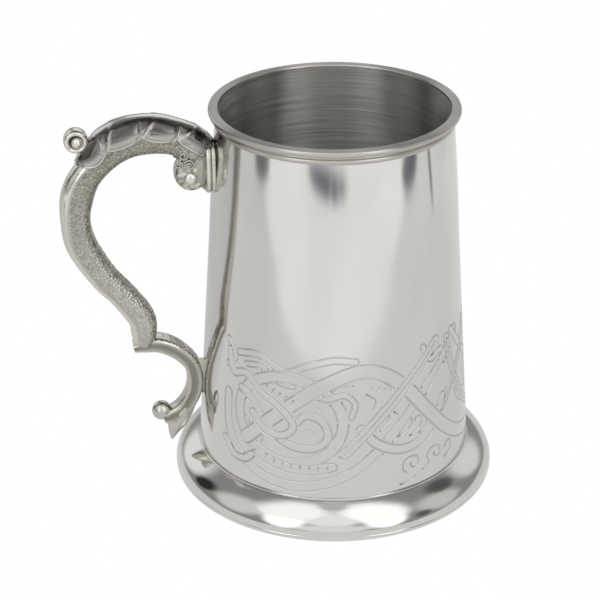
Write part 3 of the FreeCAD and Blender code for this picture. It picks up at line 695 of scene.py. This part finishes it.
# ------------------------------
# Foot skirt: pewter sheet spun to a fine bead and a wide flare. It is soldered round the bottom of
# the drum, and polished.
# ------------------------------
FOOT_RADIUS = foot_high[0] / MM
SHEET = 1.2
RING_TOP = foot_low[2] / MM
LEDGE = SOCKET - SHEET
skirt_outline = [(wall_radius(SOCKET), SOCKET), (JOINT_RADIUS, JOINT_HEIGHT), (44.5, 11.58), (44.72, 11.45)]
skirt_outline += [(44.82, 11.25), (44.85, 11.08), (44.98, 10.98)]
flare = [(45.15, 10.93), (46.5, 10.14), (48.1, 9.05), (49.6, 7.8), (50.85, 6.45), (51.75, 4.95),
         (52.25, 3.7)]
skirt_outline += [(reach, height) for reach, height in flowing(flare, step=0.35)]
skirt_outline += [(FOOT_RADIUS, 2.6), (FOOT_RADIUS, RING_TOP)]
skirt_outline += [(FOOT_RADIUS - SHEET, RING_TOP), (FOOT_RADIUS - SHEET, 2.7)]
skirt_outline += bowed((51.2, 2.7), (44.5, LEDGE), -1.5, 12)
skirt_outline += [(44.5, LEDGE), (40.0, LEDGE), (40.0, SOCKET)]
skirt = turned("skirt", skirt_outline)
skirt.data.materials.append(polished)
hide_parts("foot_skirt")
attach(skirt, "root")

# ------------------------------
# Rest ring: the turned pewter ring that closes the skirt's edge and stands on the table. It is
# polished with the skirt.
# ------------------------------
ring_outline = [(48.75, 2.7), (48.75, 0.25), (49.0, 0.0), (51.3, 0.0)]
ring_outline += bowed((51.3, 0.0), (52.3, 1.7), -0.38, 8)
ring_outline += [(52.3, 1.7), (52.15, 1.95), (51.95, RING_TOP - 0.02), (51.15, RING_TOP), (51.15, 2.7)]
rest = turned("rest_ring", ring_outline)
rest.data.materials.append(polished)
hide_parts("foot_ring")
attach(rest, "root")

# ------------------------------
# Handle collar: a pewter casting with two broad ribs, flared where it is soldered to the drum. The
# ribs are painted bright, as wear and as painted highlight, and the hollows are painted dark as shade.
# ------------------------------


def worn_metal_with_painted_light(name, hollow, rubbed_and_lit, roughness):
    """Pewter that runs from a dark colour to a bright one, as its attribute says. The attribute holds wear
    and painted light: painted shade in the hollows and painted highlights on ribs and ridges.
    """
    material, nodes, links, shader = new_material(name, rubbed_and_lit, 1.0, roughness)
    wear_and_painted_light = nodes.new("ShaderNodeAttribute")
    wear_and_painted_light.attribute_name = "wear_and_painted_light"
    tint = nodes.new("ShaderNodeMix")
    tint.data_type = "RGBA"
    tint.inputs["A"].default_value = (*hollow, 1)
    tint.inputs["B"].default_value = (*rubbed_and_lit, 1)
    links.new(wear_and_painted_light.outputs["Fac"], tint.inputs["Factor"])
    links.new(tint.outputs["Result"], shader.inputs["Base Color"])
    return material


def set_wear_and_painted_light(piece, values):
    """values is one number for the whole piece, or one for each corner point."""
    count = len(piece.data.vertices)
    wear_and_painted_light = piece.data.attributes.new("wear_and_painted_light", "FLOAT", "POINT")
    wear_and_painted_light.data.foreach_set("value", np.broadcast_to(np.asarray(values, np.float32), count).copy())


cast = worn_metal_with_painted_light("cast pewter", (0.15, 0.14, 0.105), (0.69, 0.67, 0.61), 0.2)
grain = add_waves(cast, 900, (1, 1, 1), 0.5, 0.00010, 3)
vary(cast, "Roughness", grain, 0.13, 0.28)


def rounded(turn, power):
    """A rounded outline at some angles: how far out and aside it lies there, and how it faces."""
    out, side = np.cos(turn), np.sin(turn)
    shape = (np.sign(out) * np.abs(out) ** (2 / power), np.sign(side) * np.abs(side) ** (2 / power))
    facing_out = np.sign(out) * np.abs(out) ** (2 - 2 / power)
    facing_side = np.sign(side) * np.abs(side) ** (2 - 2 / power)
    return shape, (facing_out, facing_side)


def oval(count, power):
    """Even steps round a rounded outline: their angles, where they lie, and how they face."""
    turn = np.linspace(0, 2 * np.pi, count, endpoint=False)
    return turn, *rounded(turn, power)


def body(name, corners, faces, sharp, merge=False):
    """A solid from its corners and faces, smooth where they turn by less than sharp degrees."""
    mesh = bpy.data.meshes.new(name)
    mesh.from_pydata(corners, [], faces)
    piece = bpy.data.objects.new(name, mesh)
    bpy.context.collection.objects.link(piece)
    close_up(piece, merge)
    bpy.ops.object.shade_smooth_by_angle(angle=math.radians(sharp))
    return piece


def skin(name, rings, sharp):
    """A closed body through rings of points (reach, side, height), with its two ends filled."""
    rings = np.array(rings, float)
    rows, count = rings.shape[:2]
    corners = rings.reshape(-1, 3) * MM
    corners[:, 0] *= -1
    faces = [tuple(range(count)), tuple(range((rows - 1) * count, rows * count))]
    for i in range(rows - 1):
        for j in range(count):
            k = (j + 1) % count
            faces.append((i * count + j, i * count + k, (i + 1) * count + k, (i + 1) * count + j))
    return body(name, corners.tolist(), faces, sharp)


BEDDED = 0.3
COLLAR_HEIGHT = TOP - 17.6
COLLAR_POINTS = 96
COLLAR = [  # reach, half its width, half its height, wear with painted light (ribs bright as highlight, grooves dark as shade)
    (35.3, 8.6, 8.5, 0.7), (36.3, 8.4, 8.5, 0.8), (36.9, 7.6, 8.2, 0.7), (37.3, 6.5, 7.7, 0.4),
    (37.5, 6.2, 7.5, 0.2), (37.65, 6.6, 7.9, 0.8), (37.95, 7.0, 8.3, 1.0), (38.4, 7.1, 8.4, 1.0),
    (38.75, 6.9, 8.2, 0.9), (38.95, 6.4, 7.8, 0.3), (39.15, 6.5, 7.9, 0.8), (39.5, 6.8, 8.2, 1.0),
    (40.1, 6.8, 8.2, 1.0), (40.5, 6.5, 8.0, 0.8), (40.9, 5.7, 7.5, 0.3), (41.9, 5.0, 6.7, 0.45),
    (43.4, 4.5, 6.0, 0.45),
]
_, (up, across), _ = oval(COLLAR_POINTS, 3.2)
rings, collar_shine = [], []
for reach, half_across, half_up, wear_and_painted_light in COLLAR:
    ring = np.stack([np.full(COLLAR_POINTS, reach), across * half_across, COLLAR_HEIGHT + up * half_up], 1)
    wall = np.array([wall_radius(z) for z in ring[:, 2]])
    ring[:, 0] = np.maximum(ring[:, 0], np.sqrt((wall - BEDDED) ** 2 - ring[:, 1] ** 2))
    rings.append(ring)
    collar_shine += [wear_and_painted_light] * COLLAR_POINTS
collar = skin("collar", rings, 55)
# the ribs are painted bright as wear and painted highlight, and the grooves between them are painted dark as
# shade
set_wear_and_painted_light(collar, collar_shine)
collar.data.materials.append(cast)
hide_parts("handle_collar")
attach(collar, "root")

# ------------------------------
# Main scroll: one pewter casting, soldered to the collar. Its sides are pebbled by the mould, and
# its back is filed smooth and polished.
# ------------------------------
SCROLL = [  # reach, height, half its thickness
    (39.5, 110.5, 4.0), (44.5, 114.2, 4.0), (50, 116.8, 3.9), (56.5, 118.0, 4.3), (64, 117, 4.3),
    (70.7, 113.4, 4.3), (76.9, 107.4, 4.6), (80.2, 100.4, 5.0), (81.15, 92.5, 4.55), (79.6, 83.6, 4.7),
    (73.4, 72.5, 4.3), (68.5, 66.6, 4.1), (64.1, 60.6, 4.2), (61.9, 56.6, 4.15), (61.5, 53.4, 4.1),
    (61.6, 50.6, 3.7), (61.9, 48.5, 2.7),
]
SCROLL_WIDTH = 4.6
SCROLL_POWER = 2.5
SCROLL_ROWS, AROUND = 440, 120
BACK_EDGE = 68
PEBBLE = 0.98


def path_frames(rows, count):
    """Even steps along a smooth path: the rows there, and the directions ahead and out."""
    line = flowing(rows, step=0.2)
    run = np.concatenate([[0], np.cumsum(np.linalg.norm(np.diff(line[:, :2], axis=0), axis=1))])
    even = np.linspace(0, run[-1], count)
    line = np.stack([np.interp(even, run, line[:, k]) for k in range(line.shape[1])], 1)
    ahead = np.gradient(line[:, :2], axis=0)
    ahead /= np.linalg.norm(ahead, axis=1)[:, None]
    return even, line, np.stack([-ahead[:, 1], ahead[:, 0]], 1)


def beads(rings, size):
    """How far each point rises where cast pebbling of about that size covers a surface."""
    rise = []
    for point in rings.reshape(-1, 3) / size:
        nearest = noise.voronoi(Vector(point))[0]
        rise.append((nearest[1] - nearest[0]) / 0.45)
    return np.clip(np.array(rise).reshape(rings.shape[:2]), 0, 1) ** 0.7


def ridge(offset, width):
    """A soft ridge: 1 in its middle, fading away over about that width."""
    return np.exp(-((offset / width) ** 2))


def body_rings(line, out, shape, half_side, proud):
    """Points round a swept body. proud is how far each one is raised, along the way it faces."""
    (level, across), (facing_out, facing_side) = shape
    half = line[:, 2][:, None]
    width = half_side[:, None]
    away_out, away_side = facing_out[None] / half, facing_side[None] / width
    length = np.hypot(away_out, away_side)
    level = level[None] * half + proud * away_out / length
    side = across[None] * width + proud * away_side / length
    reach = line[:, 0][:, None] + out[:, 0][:, None] * level
    height = line[:, 1][:, None] + out[:, 1][:, None] * level
    return np.stack([reach, side, height], 2)


run, line, out = path_frames(SCROLL, SCROLL_ROWS)
turn, level, faces_to = oval(AROUND, SCROLL_POWER)
half_side = np.full(len(line), SCROLL_WIDTH)
bare = body_rings(line, out, (level, faces_to), half_side, np.zeros((len(line), AROUND)))
from_back = np.degrees(np.minimum(turn, 2 * np.pi - turn))[None]
plateau = np.clip((BACK_EDGE - from_back) / 6, 0, 1)
edge_line = ridge(from_back - 66, 3.0)
dull = np.clip((from_back - BACK_EDGE) / 5, 0, 1)
coarse = 0.13 + 0.13 * np.clip((run - 45) / 40, 0, 1)[:, None]
ends = (np.clip(run / 6, 0, 1) * np.clip((run[-1] - run) / 8, 0, 1))[:, None]
stipple = beads(bare, PEBBLE) * dull * coarse * (0.3 + 0.7 * ends)
proud = stipple + 0.16 * plateau + 0.12 * edge_line
rings = body_rings(line, out, (level, faces_to), half_side, proud)
tip = rings[-1]
middle = tip.mean(axis=0)
closing = []
for size, drop in [(0.96, 0.18), (0.85, 0.42), (0.6, 0.6), (0.25, 0.65)]:
    closing.append(middle + (tip - middle) * size + np.array([0.0, 0.0, -drop]))
scroll = skin("main_scroll", list(rings) + closing, 60)
# the pebbled sides are painted brighter on the pebbles' tops, as wear, and brighter further down the scroll;
# the smooth back is bright, and darker along its edge ridge
lower_down = np.clip((run - 36) / 70, 0, 1)[:, None]
rubbed_and_lit = np.clip(stipple / coarse, 0, 1) * 0.46 + 0.05 + 0.42 * lower_down
wear_and_painted_light = np.where(dull > 0.5, rubbed_and_lit, 1.0 - 0.6 * edge_line)
set_wear_and_painted_light(scroll, np.concatenate([wear_and_painted_light.ravel(), np.full(len(closing) * AROUND, 0.8)]))
scroll.data.materials.append(cast)
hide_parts("handle_scroll")
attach(scroll, "root")

# ------------------------------
# Leaf: a polished cap over the back of the scroll, cast with it, with three scalloped lobes down
# each side. Its rims and veins are painted bright, as wear and as painted highlight, its spine has a painted
# highlight, and the rest is painted dark as shade.
# ------------------------------
bright = worn_metal_with_painted_light("polished cast pewter", (0.06, 0.056, 0.05), (0.72, 0.70, 0.65), 0.12)
rub = add_waves(bright, 160, (1, 1, 1), 0.3, 0.0005, 2)
vary(bright, "Roughness", rub, 0.08, 0.2)

CUSPS = (0.0, 12.4, 22.2, 32.3)
LEAF_END = 41.8
LAST_WIDEST = 36.6
LAST_CUSP = 2 * LAST_WIDEST - CUSPS[-1]
LOBE_REACH, CUSP_REACH = 86, 62
LEAF_ROWS, LEAF_ACROSS = 230, 91
LEAF_EDGE = 0.55
LEAF_BEDDED = -0.4
THICKNESS = [  # how far along, and how thick in the middle
    (0, 1.2), (4, 2.6), (8.2, 3.38), (20.5, 3.68), (28, 4.1), (32.5, 4.0), (36, 3.0), (39.5, 2.0),
    (LEAF_END, 1.1),
]


def leaf_reach_round(along):
    """How far round the scroll the leaf's edge lies, in degrees from the back."""
    if along > LAST_WIDEST:
        past = (along - LAST_WIDEST) / (LEAF_END - LAST_WIDEST)
        return max(5.0, LOBE_REACH * math.sqrt(max(0.0, 1 - past**2)))
    lobes = zip(CUSPS, CUSPS[1:] + (LAST_CUSP,))
    first, last = next(lobe for lobe in lobes if lobe[0] <= along <= lobe[1])
    share = (along - first) / (last - first)
    return CUSP_REACH + (LOBE_REACH - CUSP_REACH) * (4 * share * (1 - share)) ** 0.55


inside = run <= LEAF_END
leaf_run, leaf_line, leaf_out = run[inside], line[inside], out[inside]
fine_run = np.linspace(0, leaf_run[-1], LEAF_ROWS)
leaf_line = np.stack([np.interp(fine_run, leaf_run, leaf_line[:, k]) for k in range(3)], 1)
leaf_out = np.stack([np.interp(fine_run, leaf_run, leaf_out[:, k]) for k in range(2)], 1)
share = np.linspace(-1, 1, LEAF_ACROSS)
thick = np.interp(fine_run, *zip(*THICKNESS))
off_middle = np.abs(share)
toward_edge = np.clip(off_middle * 1.6 - 0.15, 0, 1)
outer_rows, inner_rows, wear_and_light_rows = [], [], []
for i, along in enumerate(fine_run):
    widest = math.radians(leaf_reach_round(along))
    (level, side), (away_out, away_side) = rounded(share * widest, SCROLL_POWER)
    half = leaf_line[i, 2]
    level, side = level * half, side * SCROLL_WIDTH
    away_out, away_side = away_out / half, away_side / SCROLL_WIDTH
    length = np.hypot(away_out, away_side)
    edge = (1 - off_middle) * math.degrees(widest) / LOBE_REACH * 6.0
    dome = LEAF_EDGE + (thick[i] - LEAF_EDGE) * np.clip(1 - share**2, 0, 1) ** 0.85
    rim = 0.30 * ridge(edge - 0.30, 0.28)
    hollow = -0.30 * ridge(edge - 1.6, 0.9)
    veins = 0
    for cusp in CUSPS[1:]:
        lean = cusp - (1 - off_middle) * 5.0
        veins = veins + 0.42 * ridge(along - lean, 0.55) * toward_edge
        veins = veins - 0.30 * ridge(along - lean - 1.3, 0.8) * toward_edge
    proud = dome + rim + hollow + veins
    # the spine and a band along the lobes are painted bright as highlight, the rims and veins as wear and
    # painted highlight; the rest stays dark as painted shade
    spine = ridge(off_middle * math.degrees(widest), 16)
    lower_lobe = 0.55 * ridge(edge - 1.2, 1.0)
    shine = np.maximum.reduce([ridge(edge - 0.3, 0.3), np.clip(veins * 2.0, 0, 1), spine, lower_lobe])
    shine = shine * np.clip((along - 1.0) / 6.0, 0.25, 1)
    wear_and_light_rows.append(np.concatenate([0.05 + 0.95 * np.clip(shine, 0, 1), np.full(len(share), 0.2)]))
    root = max(0.0, 1 - along / 9.0)
    if root > 0:
        for j in range(len(share)):
            where = Vector((leaf_line[i, 0], side[j], leaf_line[i, 1])) / 1.1
            proud[j] += 0.45 * root * noise.noise(where)
    for rows, rise in ((outer_rows, proud), (inner_rows, np.full(len(share), LEAF_BEDDED))):
        lifted = level + rise * away_out / length
        aside = side + rise * away_side / length
        reach = leaf_line[i, 0] + leaf_out[i, 0] * lifted
        rows.append(np.stack([reach, aside, leaf_line[i, 1] + leaf_out[i, 1] * lifted], 1))
loops = [np.vstack([upper, under[::-1]]) for upper, under in zip(outer_rows, inner_rows)]
leaf = skin("leaf", loops, 50)
set_wear_and_painted_light(leaf, np.concatenate(wear_and_light_rows))
leaf.data.materials.append(bright)
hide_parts("leaf_cap")
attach(leaf, "root")

# ------------------------------
# Thumb volute: the leaf's tip, cast rolled up as a rest for the thumb. A bright pearl sits in the
# hollow of each end.
# ------------------------------
VOLUTE = (79.7, 118.9)
VOLUTE_END = [(0, 1.2), (1.5, 1.3), (1.9, 1.6), (2.2, 2.1), (2.6, 2.55), (3.0, 2.6), (3.4, 2.3),
              (3.65, 1.7), (3.75, 1.0), (3.77, 0.3)]
HOLLOW_RADIUS = 2.4
LUMP_SIZE = 1.3


def bar_across(name, place, outline, stretch=(1.0, 1.0), lumps=0.0, steps=72):
    """A bar along Y, turned from (radius, side) points, both ends alike."""
    whole = outline + [(radius, -side) for radius, side in reversed(outline)]
    count = len(whole)
    corners, faces = [], []
    for i in range(steps):
        angle = 2 * math.pi * i / steps
        k = (i + 1) % steps
        for j, (radius, side) in enumerate(whole):
            spot = Vector((math.cos(angle) * radius, side, math.sin(angle) * radius)) / LUMP_SIZE
            swell = radius + lumps * noise.noise(spot) * min(1, radius / 3)
            reach = place[0] + swell * stretch[0] * math.cos(angle)
            height = place[1] + swell * stretch[1] * math.sin(angle)
            corners.append((-reach * MM, side * MM, height * MM))
            if j < count - 1:
                faces.append((i * count + j, i * count + j + 1, k * count + j + 1, k * count + j))
    bar = body(name, corners, faces, 50, merge=True)
    end = whole[len(outline) // 2][1]
    values = []
    for corner in bar.data.vertices:
        x, y, z = -corner.co.x / MM - place[0], corner.co.y / MM, corner.co.z / MM - place[1]
        # with lumps the tone varies at random, as wear; without them the bar is painted darker inside the
        # hollow of each end, as shade
        shine = 0.6 + 1.4 * (noise.noise(Vector((x, y, z)) / LUMP_SIZE) if lumps else 0.25)
        if not lumps and math.hypot(x, z) < HOLLOW_RADIUS:
            shine -= max(0.0, end - abs(y) - 0.4)
        values.append(min(1.0, max(0.1, shine)))
    set_wear_and_painted_light(bar, values)
    return bar


def pearl_pair(name, place, side, radius, flat=1.0):
    """A round pearl set in each end of a bar across the handle."""
    pearls = []
    for way in (-1, 1):
        spot = (-place[0] * MM, way * side * MM, place[1] * MM)
        bpy.ops.mesh.primitive_uv_sphere_add(segments=32, ring_count=20, radius=radius * MM, location=spot)
        pearl = bpy.context.object
        pearl.scale = (1, flat, 1)
        pearls.append(pearl)
    for pearl in pearls:
        pearl.select_set(True)
    bpy.context.view_layer.objects.active = pearls[0]
    bpy.ops.object.join()
    pair = bpy.context.object
    pair.name = name
    bpy.ops.object.transform_apply(location=True, rotation=True, scale=True)
    bpy.ops.object.shade_smooth()
    set_wear_and_painted_light(pair, 1.0)
    return pair


volute = bar_across("thumb_volute_roll", VOLUTE, VOLUTE_END)
volute.data.materials.append(bright)
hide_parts("thumb_volute")
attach(volute, "root")

volute_eyes = pearl_pair("volute_eyes", (VOLUTE[0] - 0.3, VOLUTE[1] - 0.2), 1.6, 1.8)
volute_eyes.data.materials.append(bright)
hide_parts("volute_pearls")
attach(volute_eyes, "root")

# ------------------------------
# Boss: the rolled inner end of the scroll, pewter cast with curls in relief. A bright pearl is cast
# on each side of it.
# ------------------------------
BOSS = (44.9, 106.7)
BOSS_END = [(0, 4.5), (2.4, 4.5), (3.6, 4.4), (4.6, 4.05), (5.1, 3.5), (5.45, 2.7), (5.65, 1.6), (5.7, 0.5)]
CURLS = [  # reach, height, size, the angle it starts at, and which way it winds
    (45.6, 110.3, 1.8, 20, 1), (48.9, 110.5, 1.3, 200, -1), (47.3, 113.5, 1.6, 90, 1),
    (44.4, 113.4, 1.1, 300, 1), (42.9, 110.6, 1.2, 150, -1),
]
CURL_POINTS = 22
CURL_THICKNESS = 0.36
boss = bar_across("boss", BOSS, BOSS_END, (0.95, 1.0), 0.14, 96)
boss.data.materials.append(cast)
curl_lines = []
for reach, height, size, start, way in CURLS:
    for side in (-1, 1):
        points = []
        for k in range(CURL_POINTS):
            angle = math.radians(start + way * 26 * k)
            radius = size * (1 - 0.036 * k)
            r, z = reach + radius * math.cos(angle), height + radius * math.sin(angle)
            points.append((-r * MM, side * (4.42 - 0.012 * ((r - 45.6) ** 2)) * MM, z * MM))
        curl_lines.append(points)
curls = tubes("curls", curl_lines, CURL_THICKNESS, 2)
curls.data.materials.clear()
curls.data.materials.append(cast)
set_wear_and_painted_light(curls, 0.55)
only(boss)
curls.select_set(True)
bpy.ops.object.join()
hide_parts("upper_boss")
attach(boss, "root")

boss_eyes = pearl_pair("boss_eyes", (45.3, 105.9), 4.2, 2.2, 0.8)
boss_eyes.data.materials.append(bright)
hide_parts("boss_pearls")
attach(boss_eyes, "root")

# ------------------------------
# Lower scroll: a slimmer pewter casting from the heel, past its lug on the drum, out to the ball. Its
# sides are hollowed between two rims, and its back is stippled by the mould.
# ------------------------------
LOWER = [  # reach, height, half its thickness, half its width
    (65.0, 46.9, 1.3, 3.2), (61.4, 47.7, 2.2, 3.7), (57.2, 47.7, 2.5, 3.7), (53.0, 46.0, 2.6, 3.6),
    (49.2, 43.0, 2.5, 3.6), (46.6, 39.5, 2.5, 3.5), (45.6, 35, 2.6, 3.4), (46.0, 30.5, 2.6, 3.3),
    (47.6, 26.6, 2.6, 3.2), (50.2, 23.2, 2.6, 3.1), (53.4, 21.0, 2.5, 3.0), (56.2, 20.0, 1.7, 2.6),
]
LOWER_ROWS, LOWER_POINTS = 220, 96
run, line, out = path_frames(LOWER, LOWER_ROWS)
turn, level, faces_to = oval(LOWER_POINTS, 4.0)
bare = body_rings(line, out, (level, faces_to), line[:, 3], np.zeros((len(line), LOWER_POINTS)))
across_level = level[0][None]
on_side = np.clip((np.abs(level[1]) - 0.9) / 0.08, 0, 1)[None]
dish = -0.5 * on_side * np.clip(1 - (across_level / 0.62) ** 2, 0, 1)
from_back = np.degrees(np.minimum(turn, 2 * np.pi - turn))[None]
on_back = np.clip((from_back - 125) / 10, 0, 1)
stipple = 0.13 * beads(bare, 0.9) * on_back * np.clip((34 - run) / 8, 0, 1)[:, None]
rings = body_rings(line, out, (level, faces_to), line[:, 3], dish + stipple)
lower = skin("lower_scroll_band", rings, 60)
# the hollowed sides are painted darker the deeper they dish, as shade; stippled parts are a little brighter,
# and the smooth back past the stippling darker
shine = 0.74 + 1.1 * dish + np.where(stipple > 0.03, 0.1, -0.25 * (from_back > 135))
set_wear_and_painted_light(lower, np.clip(shine, 0.2, 1).ravel())
lower.data.materials.append(cast)
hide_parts("lower_scroll")
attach(lower, "root")

# ------------------------------
# Ball: a round pewter finial on a neck ring, cast at the end of the lower scroll. It is polished
# bright.
# ------------------------------
BALL, BALL_RADIUS = (56.8, 22.6), 3.2
NECK, NECK_RADIUS, NECK_THICKNESS = (54.9, 21.9), 1.9, 0.55
NECK_LEAN = math.pi / 2 - 0.5
bpy.ops.mesh.primitive_uv_sphere_add(
    segments=48, ring_count=32, radius=BALL_RADIUS * MM, location=(-BALL[0] * MM, 0, BALL[1] * MM)
)
ball = bpy.context.object
ball.name = "ball"
bpy.ops.object.transform_apply(location=True)
bpy.ops.mesh.primitive_torus_add(
    major_radius=NECK_RADIUS * MM, minor_radius=NECK_THICKNESS * MM, major_segments=40,
    minor_segments=12, location=(-NECK[0] * MM, 0, NECK[1] * MM), rotation=(0, NECK_LEAN, 0),
)
neck = bpy.context.object
bpy.ops.object.transform_apply(location=True, rotation=True)
only(ball)
neck.select_set(True)
bpy.ops.object.join()
bpy.ops.object.shade_smooth()
set_wear_and_painted_light(ball, 0.75)
ball.data.materials.clear()
ball.data.materials.append(bright)
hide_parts("ball_finial")
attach(ball, "root")

# ------------------------------
# Pointed tail: a short pewter wedge, cast under the end of the lower scroll and left dull.
# It comes to a blunt point above the foot.
# ------------------------------
TAIL = [  # reach, height, half its thickness, half its width
    (47.6, 25.2, 2.2, 2.6), (49.8, 21.4, 2.8, 2.8), (52.0, 17.9, 2.9, 2.4), (53.2, 14.6, 1.7, 1.6),
    (53.8, 11.6, 0.4, 0.4),
]
TAIL_ROWS, TAIL_POINTS = 60, 64
_, line, out = path_frames(TAIL, TAIL_ROWS)
_, level, faces_to = oval(TAIL_POINTS, 3.0)
smooth = np.zeros((len(line), TAIL_POINTS))
tail = skin("tail", body_rings(line, out, (level, faces_to), line[:, 3], smooth), 45)
set_wear_and_painted_light(tail, 0.8)
tail.data.materials.append(cast)
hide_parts("pointed_tail")
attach(tail, "root")

# ------------------------------
# Lug: the thin pewter pad behind the lower scroll. It is soldered to the drum, and holds the
# scroll's back off the wall.
# ------------------------------
LUG_REACH = 44.6
rings = []
for height, half in [(28.5, 0.8), (29.5, 1.6), (31.5, 2.0), (35, 2.1), (38, 2.0), (39.5, 1.6), (40.6, 0.8)]:
    inner = math.sqrt((wall_radius(height) - BEDDED) ** 2 - half**2)
    rings.append([(inner, -half, height), (LUG_REACH, -half, height), (LUG_REACH, half, height),
                  (inner, half, height)])
lug = skin("lug", rings, 30)
set_wear_and_painted_light(lug, 0.55)
lug.data.materials.append(cast)
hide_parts("lower_lug")
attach(lug, "root")

# ------------------------------
# Floor and solder seams: a pewter disc across the bottom of the drum, and the thin rings of solder
# that hold it and the foot. They keep their plain shapes, as the lathe and the iron left them.
# ------------------------------
for node in ("drum_floor", "floor_seam", "foot_seam"):
    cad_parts[node].data.materials.clear()
    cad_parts[node].data.materials.append(satin)
